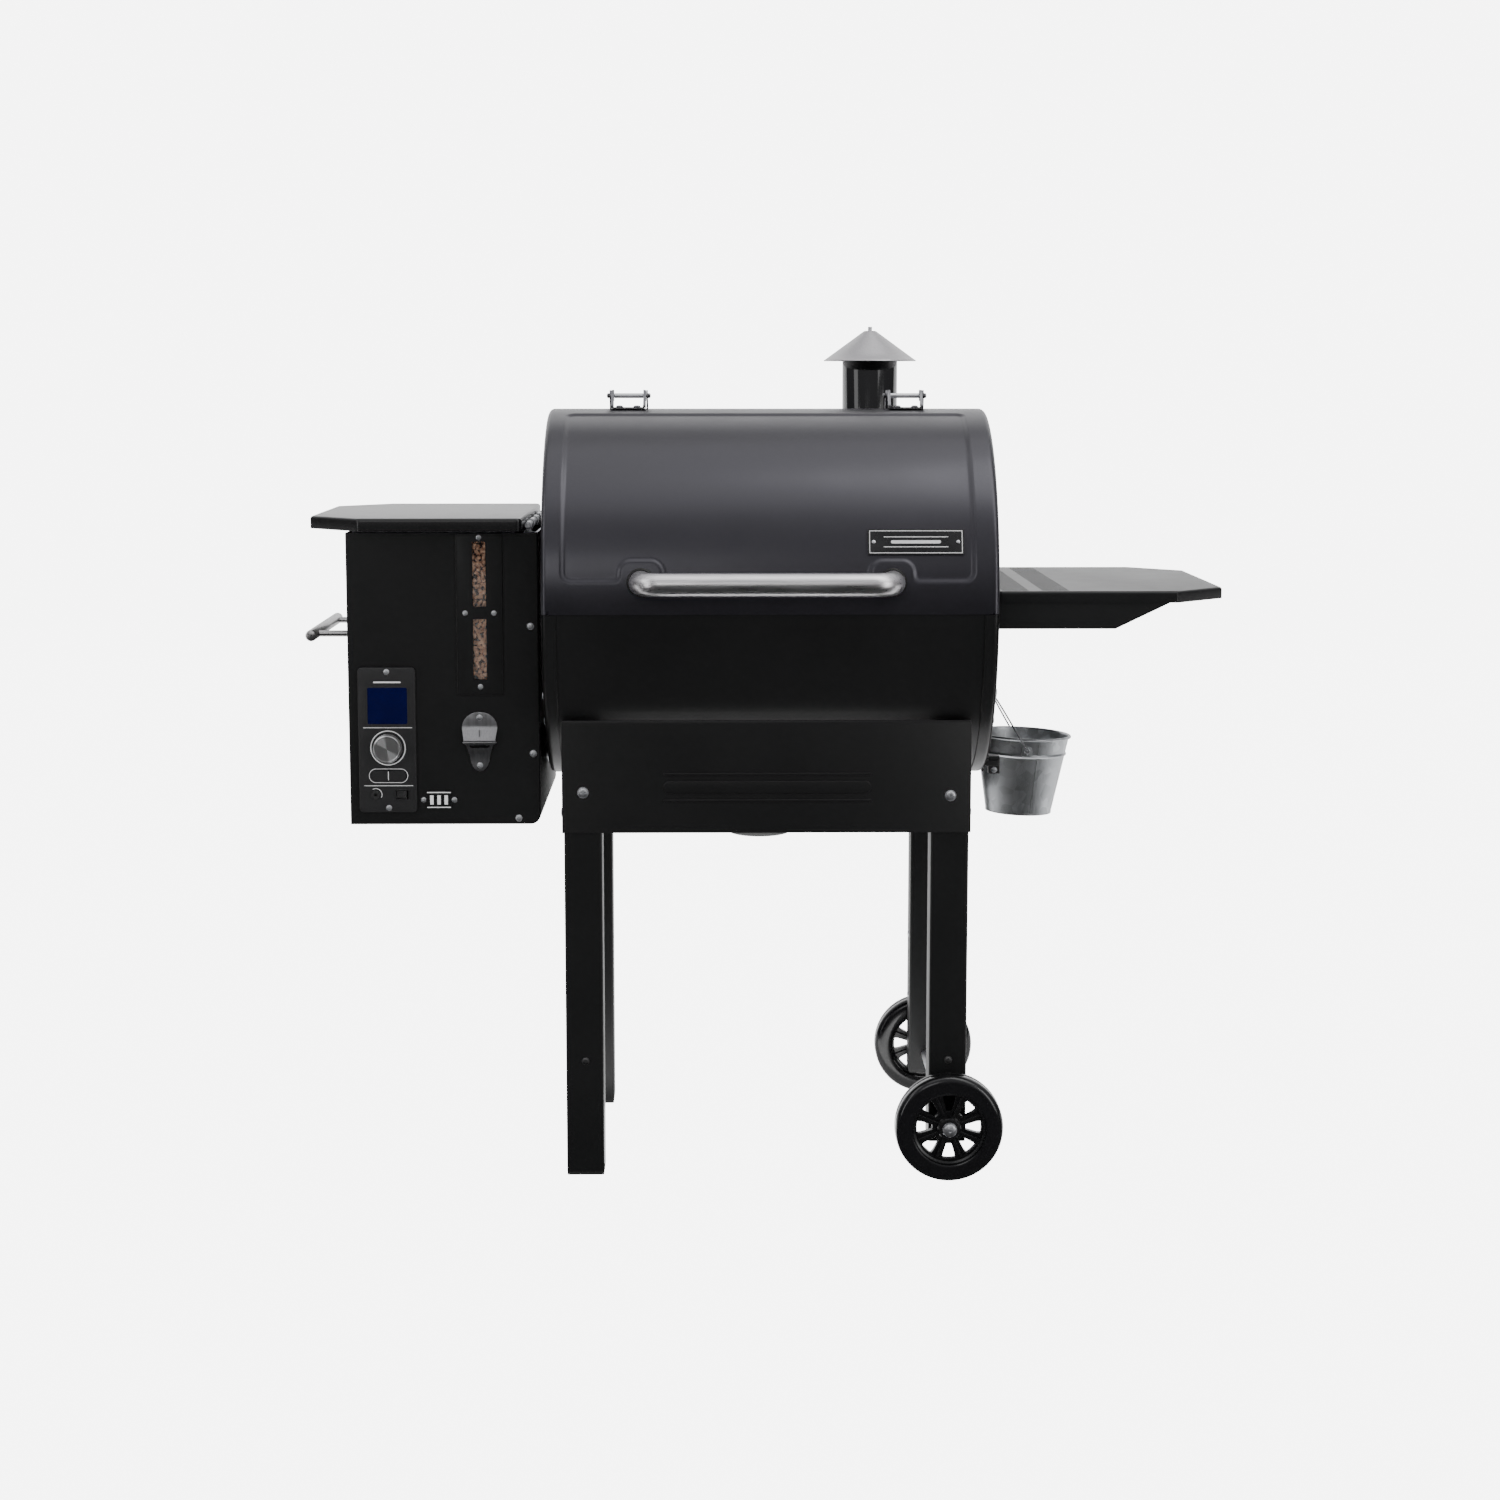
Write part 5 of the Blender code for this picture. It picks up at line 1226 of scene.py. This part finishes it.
def build_controls():
    x0, x1, y0, y1, z0, z1 = limits("control_panel")
    dx, _, dz = centre("dial_knob")
    face = y0
    _, _, bz = centre("button_left")
    sx, _, sz = centre("power_switch")
    pill = plan(rect(dx - 0.0253, dx + 0.0253, bz - 0.0083, bz + 0.0083), 0, 0.0082, 8)
    panel = plate(rect(x0, x1, z0, z1), "y", y1, y0, 0.006, 0.0012, 6)
    screen = rect(dx - 0.0275, dx + 0.0275, 0.641, 0.692)
    holes = joined(prism(circle(dx, dz, 0.0045, 24), "y", y0 - 0.01, y1 + 0.01),
                   prism(pill, "y", y0 - 0.01, y1 + 0.01),
                   box(sx - 0.00835, sx + 0.00835, y0 - 0.01, y1 + 0.01, sz - 0.006, sz + 0.006),
                   prism(plan(screen, 0, 0.002, 4), "y", y0 - 0.01, y0 + 0.0009))
    piece("control_face", boolean(panel, holes), PLASTIC, "grill", "control_panel", sharp=30)
    piece("display_window", plate(screen, "y", y0 + 0.0010, y0 + 0.0003, 0.002, 0.0002, 4), SCREEN)

    lines = [box(dx - 0.034, dx + 0.034, face - 0.00025, face + 0.0004, z - 0.0004, z + 0.0004)
             for z in (0.6360, 0.5545)]
    ring = lathe([(0.0232, face - 0.0006), (0.0244, face - 0.0006), (0.0247, face + 0.0004),
                  (0.0229, face + 0.0004)], "y", dx, dz, 72)

    def raised(outline, r, n, stages):
        """Thin line that stands on the panel; stages are (inset, height) across its width."""
        return loft([[(u, face - w, v) for u, v in plan(outline, d, r, n)] for d, w in stages], caps=False)

    oval = raised(rect(dx - 0.0272, dx + 0.0272, bz - 0.0100, bz + 0.0100), 0.0099, 10,
                  ((0.0, 0.0), (0.0001, 0.0003), (0.0007, 0.0003), (0.0008, 0.0)))
    split = box(dx - 0.0005, dx + 0.0005, face - 0.0014, face - 0.0011, bz - 0.0060, bz + 0.0060)
    jack_x = dx - 0.018
    swoop = [(u, face - 0.0001, v) for u, v in arc(jack_x, sz, 0.0085, -30, 120, 15)]
    title = plate(rect(dx - 0.0190, dx + 0.0190, 0.6985, 0.7005), "y", face, face - 0.0004,
                  0.0009, 0.0001, 6)
    marks = [oval, sweep(swoop, 0.0005, 6, (0, 1, 0)), split, title] + lines
    piece("panel_marks", joined(*marks), WHITE, sharp=40)
    piece("dial_ring", ring, WHITE, sharp=40)
    jack = lathe([(0.0022, face - 0.0036), (0.0052, face - 0.0036), (0.0062, face - 0.0026),
                  (0.0062, face + 0.0004), (0.0022, face + 0.0004)], "y", jack_x, sz, 32)
    piece("probe_jack", jack, RUBBER, sharp=30)
    screws("panel_screws", 0.0034, [((dx - 0.0005, face, 0.714), FRONT), ((dx, face, 0.5233), FRONT)])

    for side, s in (("left", -1), ("right", 1)):
        full = plan(rect(dx - 0.0247, dx + 0.0247, bz - 0.0077, bz + 0.0077), 0, 0.0076, 10)
        half = [(u, v) for u, v in full if s * (u - dx) > 0.0007]
        half = sorted(half, key=lambda p: atan2(p[1] - bz, s * (p[0] - dx - s * 0.012)))
        tip = [(dx + s * 0.0007, bz + 0.0077), (dx + s * 0.0007, bz - 0.0077)]
        cap = prism(half + tip, "y", face - 0.0012, face + 0.004)
        piece(f"button_{side}_cap", cap, PLASTIC, f"{side}_button", f"button_{side}",
              bevel=0.0004, sharp=45)
    lean = radians(-8)
    pivot = Vector((sx, -0.1883))
    top = [(-0.0069, 0.004), (0.0069, 0.004), (0.0069, -0.0060), (0.0035, -0.0050), (0.0, -0.0046),
           (-0.0035, -0.0050), (-0.0069, -0.0060)]
    top = [(pivot.x + u * cos(lean) - v * sin(lean), pivot.y + u * sin(lean) + v * cos(lean))
           for u, v in top]
    piece("rocker_cap", prism(top, "z", sz - 0.0055, sz + 0.0055), RUBBER, "rocker",
          "power_switch", bevel=0.0004, sharp=40)
    bezel = raised(rect(sx - 0.0102, sx + 0.0102, sz - 0.0078, sz + 0.0078), 0.0018, 4,
                   ((0.0, 0.0), (0.0003, 0.0008), (0.0014, 0.0010), (0.0018, 0.0)))
    piece("rocker_bezel", bezel, PLASTIC, sharp=30)

    # knob: knurled side, spun face with a painted highlight
    _, _, k0, k1, _, _ = limits("dial_knob")
    n, groove = 144, 0.0003
    stations = [(0.0034, k1, 0), (0.0192, k1, 0), (0.0200, k1 - 0.0008, 0), (0.0200, k1 - 0.0020, 1),
                (0.0198, k0 + 0.0032, 1), (0.0198, k0 + 0.0024, 0), (0.0192, k0 + 0.0008, 0),
                (0.0184, k0 + 0.0002, 0), (0.0176, k0, 0), (0.0171, k0 + 0.0004, 0),
                (0.0166, k0 + 0.0004, 0), (0.0020, k0 + 0.0004, 0)]
    loops = []
    for r, w, knurl in stations:
        radii = [r - groove * knurl * (i % 2) for i in range(n)]
        loops.append([(dx + rr * cos(2 * pi * i / n), w, dz + rr * sin(2 * pi * i / n))
                      for i, rr in enumerate(radii)])
    turned = spun("spun_knob_painted_highlight", "stainless", (0.95, 0.95, 0.95), 0.42, dx, dz)
    piece("dial_knob_turned", loft(loops), turned, "dial", "dial_knob", sharp=40)


def build_trim():
    x0, _, y0, y1, z0, z1 = limits("side_handle")
    r = (z1 - z0) / 2
    gx, gz = x0 + r, (z0 + z1) / 2
    case = limits("hopper_box")[0]
    ends = [(r - 0.0022, y0), (r - 0.0008, y0 + 0.0006), (r, y0 + 0.0022), (r, y1 - 0.0022),
            (r - 0.0008, y1 - 0.0006), (r - 0.0022, y1)]
    parts = [loft([hoop("y", gx, gz, rr, w, 40) for rr, w in ends])]
    collar = [(0.0044, case - 0.0034), (0.0082, case - 0.0030), (0.0090, case - 0.0018),
              (0.0090, case - 0.0002), (0.0044, case - 0.0002)]
    for y in (-0.105, 0.105):
        parts.append(rod("x", y, gz, 0.0045, gx + 0.004, case - 0.0003, 28))
        parts.append(lathe(collar, "x", y, gz, 32))
    piece("side_handle_bar", joined(*parts), STEEL_Y, "grill", "side_handle", sharp=35)

    # bottle opener: folded shield with an arched top, a lip that stands out, and a tapered tongue
    _, _, _, back, _, _ = limits("bottle_opener")
    ox, _, _ = centre("bottle_opener")

    def pressed(stations, sheet=SHEET):
        """Sheet with a slight crown from (z, half width, height of its face above the case)."""
        loops = []
        for z, w, out in stations:
            face = [(-w, out - 0.0004), (-0.85 * w, out), (0.0, out + 0.0003), (0.85 * w, out),
                    (w, out - 0.0004)]
            low = max(out - sheet, 0.0)
            loops.append([(ox + u, back - v, z) for u, v in face + [(w, low), (-w, low)]])
        return loft(loops)

    arch = [(0.6370 + 0.0205 * sin(radians(a)), 0.0243 * cos(radians(a)), 0.0020)
            for a in (88, 75, 60, 45, 30, 15, 5)]
    shield = pressed(arch + [(0.6365, 0.0245, 0.0021), (0.6330, 0.0243, 0.0034),
                             (0.6205, 0.0222, 0.0086), (0.6190, 0.0216, 0.0092)])
    lip = pressed([(0.6188, 0.0222, 0.0094), (0.6182, 0.0224, 0.0100), (0.6172, 0.0226, 0.0098),
                   (0.6166, 0.0224, 0.0090)], 0.0030)
    wings = pressed([(0.6162, 0.0232, 0.0082), (0.6154, 0.0236, 0.0084), (0.6140, 0.0228, 0.0074),
                     (0.6120, 0.0192, 0.0064), (0.6090, 0.0178, 0.0056), (0.5995, 0.0152, 0.0036),
                     (0.5980, 0.0148, 0.0030), (0.5880, 0.0128, 0.0024), (0.5820, 0.0104, 0.0022),
                     (0.5780, 0.0078, 0.0021), (0.5755, 0.0046, 0.0020), (0.5745, 0.0012, 0.0018)])
    slot = [(-0.0135, 0.6085), (-0.0105, 0.6075), (0.0105, 0.6075), (0.0135, 0.6085),
            (0.0140, 0.6118), (0.0105, 0.6112), (0.0070, 0.6120), (-0.0070, 0.6120),
            (-0.0105, 0.6112), (-0.0140, 0.6118)]
    wings = boolean(wings, prism([(ox + u, v) for u, v in slot], "y", back - 0.02, back + 0.005))
    piece("opener_plate", joined(shield, lip, wings), OPENER, "grill", "bottle_opener", sharp=22)
    rib = plate(rect(ox - 0.0009, ox + 0.0009, 0.6235, 0.6335), "y", back - 0.0030, back - 0.0078,
                0.0008, 0.0006, 4)
    piece("opener_rib", rib, OPENER)
    screws("opener_screws", 0.0036, [((ox, back - 0.0022, 0.6500), FRONT),
                                     ((ox, back - 0.0024, 0.5830), FRONT)])

    # blank badge with a line above and below
    bx, _, bz = centre("badge_plate")
    y = limits("badge_plate")[3]
    badge = plate(rect(bx - 0.0175, bx + 0.0175, bz - 0.0125, bz + 0.0125), "y", y, y - 0.0011,
                  0.0010, 0.0003, 3)
    piece("badge_blank", badge, PLATE, "grill", "badge_plate", sharp=30)

    def bar(u, v, half_u, half_v):
        """Raised bar on the badge."""
        return box(bx + u - half_u, bx + u + half_u, y - 0.0015, y - 0.0009,
                   bz + v - half_v, bz + v + half_v)

    bars = [bar(0.0, v, 0.0165, 0.0007) for v in (-0.0105, 0.0105)]
    bars += [bar(u, 0.0, 0.0024, 0.0065) for u in (-0.010, 0.0, 0.010)]
    piece("badge_lines", joined(*bars), WHITE)
    screws("badge_screws", 0.0032, [((bx + s * 0.0215, y, bz), FRONT) for s in (-1, 1)])


# ---- what stays from the CAD -------------------------------------------------------------------
KEPT = (
    (BLACK, "side_panel_left side_panel_right shelf_bracket_front shelf_bracket_rear"),
    (IRON, "heat_deflector fire_pot auger_motor fan_housing"),
    (STEEL_X, "auger"),
    (STEEL_Y, "drip_tray dial_shaft"),
    (PLASTIC, "fan_impeller"),
    (ZINC, "auger_tube hopper_bin"),
    (BRIGHT, "drain_spout bucket_hook hopper_hinge_leaf hopper_hinge_pin"),
    (HINGE, "lid_hinge_arm_left lid_hinge_arm_right hinge_bracket_left hinge_bracket_right"),
    (PANE, "window_pane"),
)


def dress_kept():
    """Give the CAD nodes that are seen as they are their materials."""
    for look, names in KEPT:
        for name in names.split():
            for slot in NODES[name].material_slots:
                slot.material = look


# ---- studio ------------------------------------------------------------------------------------
def build_camera():
    cam = bpy.data.cameras.new("camera")
    cam.sensor_width, cam.lens = 36.0, 65.16
    cam.clip_end = 60.0
    ob = put("camera", cam)
    ob.location = ORIGIN + Vector((-0.0775, -3.940, 1.131))
    ob.rotation_euler = (radians(90 - 8.009), 0.0, radians(-0.773))
    bpy.context.scene.camera = ob


def area(name, place, target, size, power):
    light = bpy.data.lights.new(name, "AREA")
    light.shape, light.energy = "RECTANGLE", power
    light.size, light.size_y = size
    ob = put(name, light)
    ob.location = place
    ob.rotation_euler = (Vector(target) - Vector(place)).to_track_quat("-Z", "Y").to_euler()
    ob.visible_camera = False


def build_studio():
    world = bpy.data.worlds.new("studio")
    bpy.context.scene.world = world
    world.use_nodes = True
    tree = world.node_tree
    back = tree.nodes["Background"]
    coords = tree.nodes.new("ShaderNodeTexCoord")
    split = tree.nodes.new("ShaderNodeSeparateXYZ")
    ramp_node = tree.nodes.new("ShaderNodeValToRGB")
    tree.links.new(coords.outputs["Generated"], split.inputs["Vector"])
    tree.links.new(split.outputs["Z"], ramp_node.inputs["Fac"])
    stops = ramp_node.color_ramp.elements
    stops[0].position, stops[0].color = 0.12, (0.040, 0.040, 0.042, 1)
    stops[1].position, stops[1].color = 0.90, (0.80, 0.80, 0.83, 1)
    middle = stops.new(0.40)
    middle.color = (0.46, 0.46, 0.48, 1)
    tree.links.new(ramp_node.outputs["Color"], back.inputs["Color"])
    back.inputs["Strength"].default_value = 0.75

    def pale(name, glow):
        mat = bpy.data.materials.new(name)
        mat.use_nodes = True
        shader = mat.node_tree.nodes["Principled BSDF"]
        shader.inputs["Base Color"].default_value = (0.86, 0.86, 0.86, 1)
        shader.inputs["Roughness"].default_value = 0.9
        shader.inputs["Emission Color"].default_value = (1, 1, 1, 1)
        shader.inputs["Emission Strength"].default_value = glow
        return mat

    def sheet(name, rows, mat):
        """Open sheet through rows of points; both faces are alike."""
        bm = bmesh.new()
        rows = [[bm.verts.new(p) for p in row] for row in rows]
        for a, b in zip(rows, rows[1:]):
            for i in range(len(a) - 1):
                bm.faces.new((a[i], b[i], b[i + 1], a[i + 1]))
        mesh = bpy.data.meshes.new(name)
        bm.to_mesh(mesh)
        bm.free()
        mesh.materials.append(mat)
        mesh.shade_smooth()
        floor = put(name, mesh)
        return floor

    def cove(near, far, drop):
        """Floor from near to a curved wall at far, as (distance, height) points."""
        bend = 3.0
        curve = [(far - bend + bend * sin(radians(a)), bend - bend * cos(radians(a)))
                 for a in range(0, 91, 10)]
        return [(y, z - drop) for y, z in [(near, 0.0)] + curve + [(far, 12.0)]]

    def strip(profile):
        return [[(x, y, z) for y, z in profile] for x in (-14.0, 14.0)]

    # the floor that is seen; the light it sends to the grill comes from the two bounce sheets on it
    turns = [radians(a) for a in range(0, 361, 5)]
    bowl = [[(r * cos(a), r * sin(a), z) for r, z in cove(0.0, 12.0, 0.0010)] for a in turns]
    seen = sheet("studio_floor", bowl, pale("floor_white", 6.0))
    seen.visible_glossy = seen.visible_diffuse = False
    seen.visible_transmission = seen.visible_shadow = False
    bounce = pale("floor_bounce", 0.80)
    front = sheet("bounce_front", strip([(-12.0, -0.0005), (-0.15, -0.0005)]), bounce)
    front.visible_glossy = False
    rear = sheet("bounce_rear", strip(cove(-0.15, 9.0, 0.0005)), bounce)
    front.visible_camera = rear.visible_camera = False

    area("top_softbox", (0.1, -0.35, 3.4), (0.0, 0.0, 0.9), (3.4, 2.6), 21)
    area("top_right", (1.25, -0.9, 3.0), (0.1, 0.0, 0.9), (1.3, 2.6), 20)
    area("top_left", (-2.4, -0.9, 2.6), (0.0, 0.0, 0.9), (1.0, 1.4), 8)
    area("right_strip", (2.8, -2.27, 1.25), (0.0, 0.0, 1.15), (1.9, 2.4), 17)
    area("right_core", (2.73, -2.21, 1.25), (0.0, 0.0, 1.15), (0.24, 2.2), 11)
    area("left_core", (-2.6, -2.05, 1.25), (0.0, 0.0, 1.15), (0.50, 2.2), 14)
    area("front_fill", (-0.9, -4.3, 2.3), (0.0, 0.0, 0.8), (1.6, 1.2), 13)
    area("under_glow", (0.0, -0.01, 0.01), (0.0, -0.01, 1.0), (0.60, 0.30), 1.3)


build_camera()
build_studio()
for step in (build_cart, build_wheels, build_drum, build_lid, build_interior, build_chimney,
             build_lid_furniture, build_shelf, build_bucket, build_hopper, build_hopper_lid,
             build_window, build_pellets, build_controls, build_trim, dress_kept):
    step()
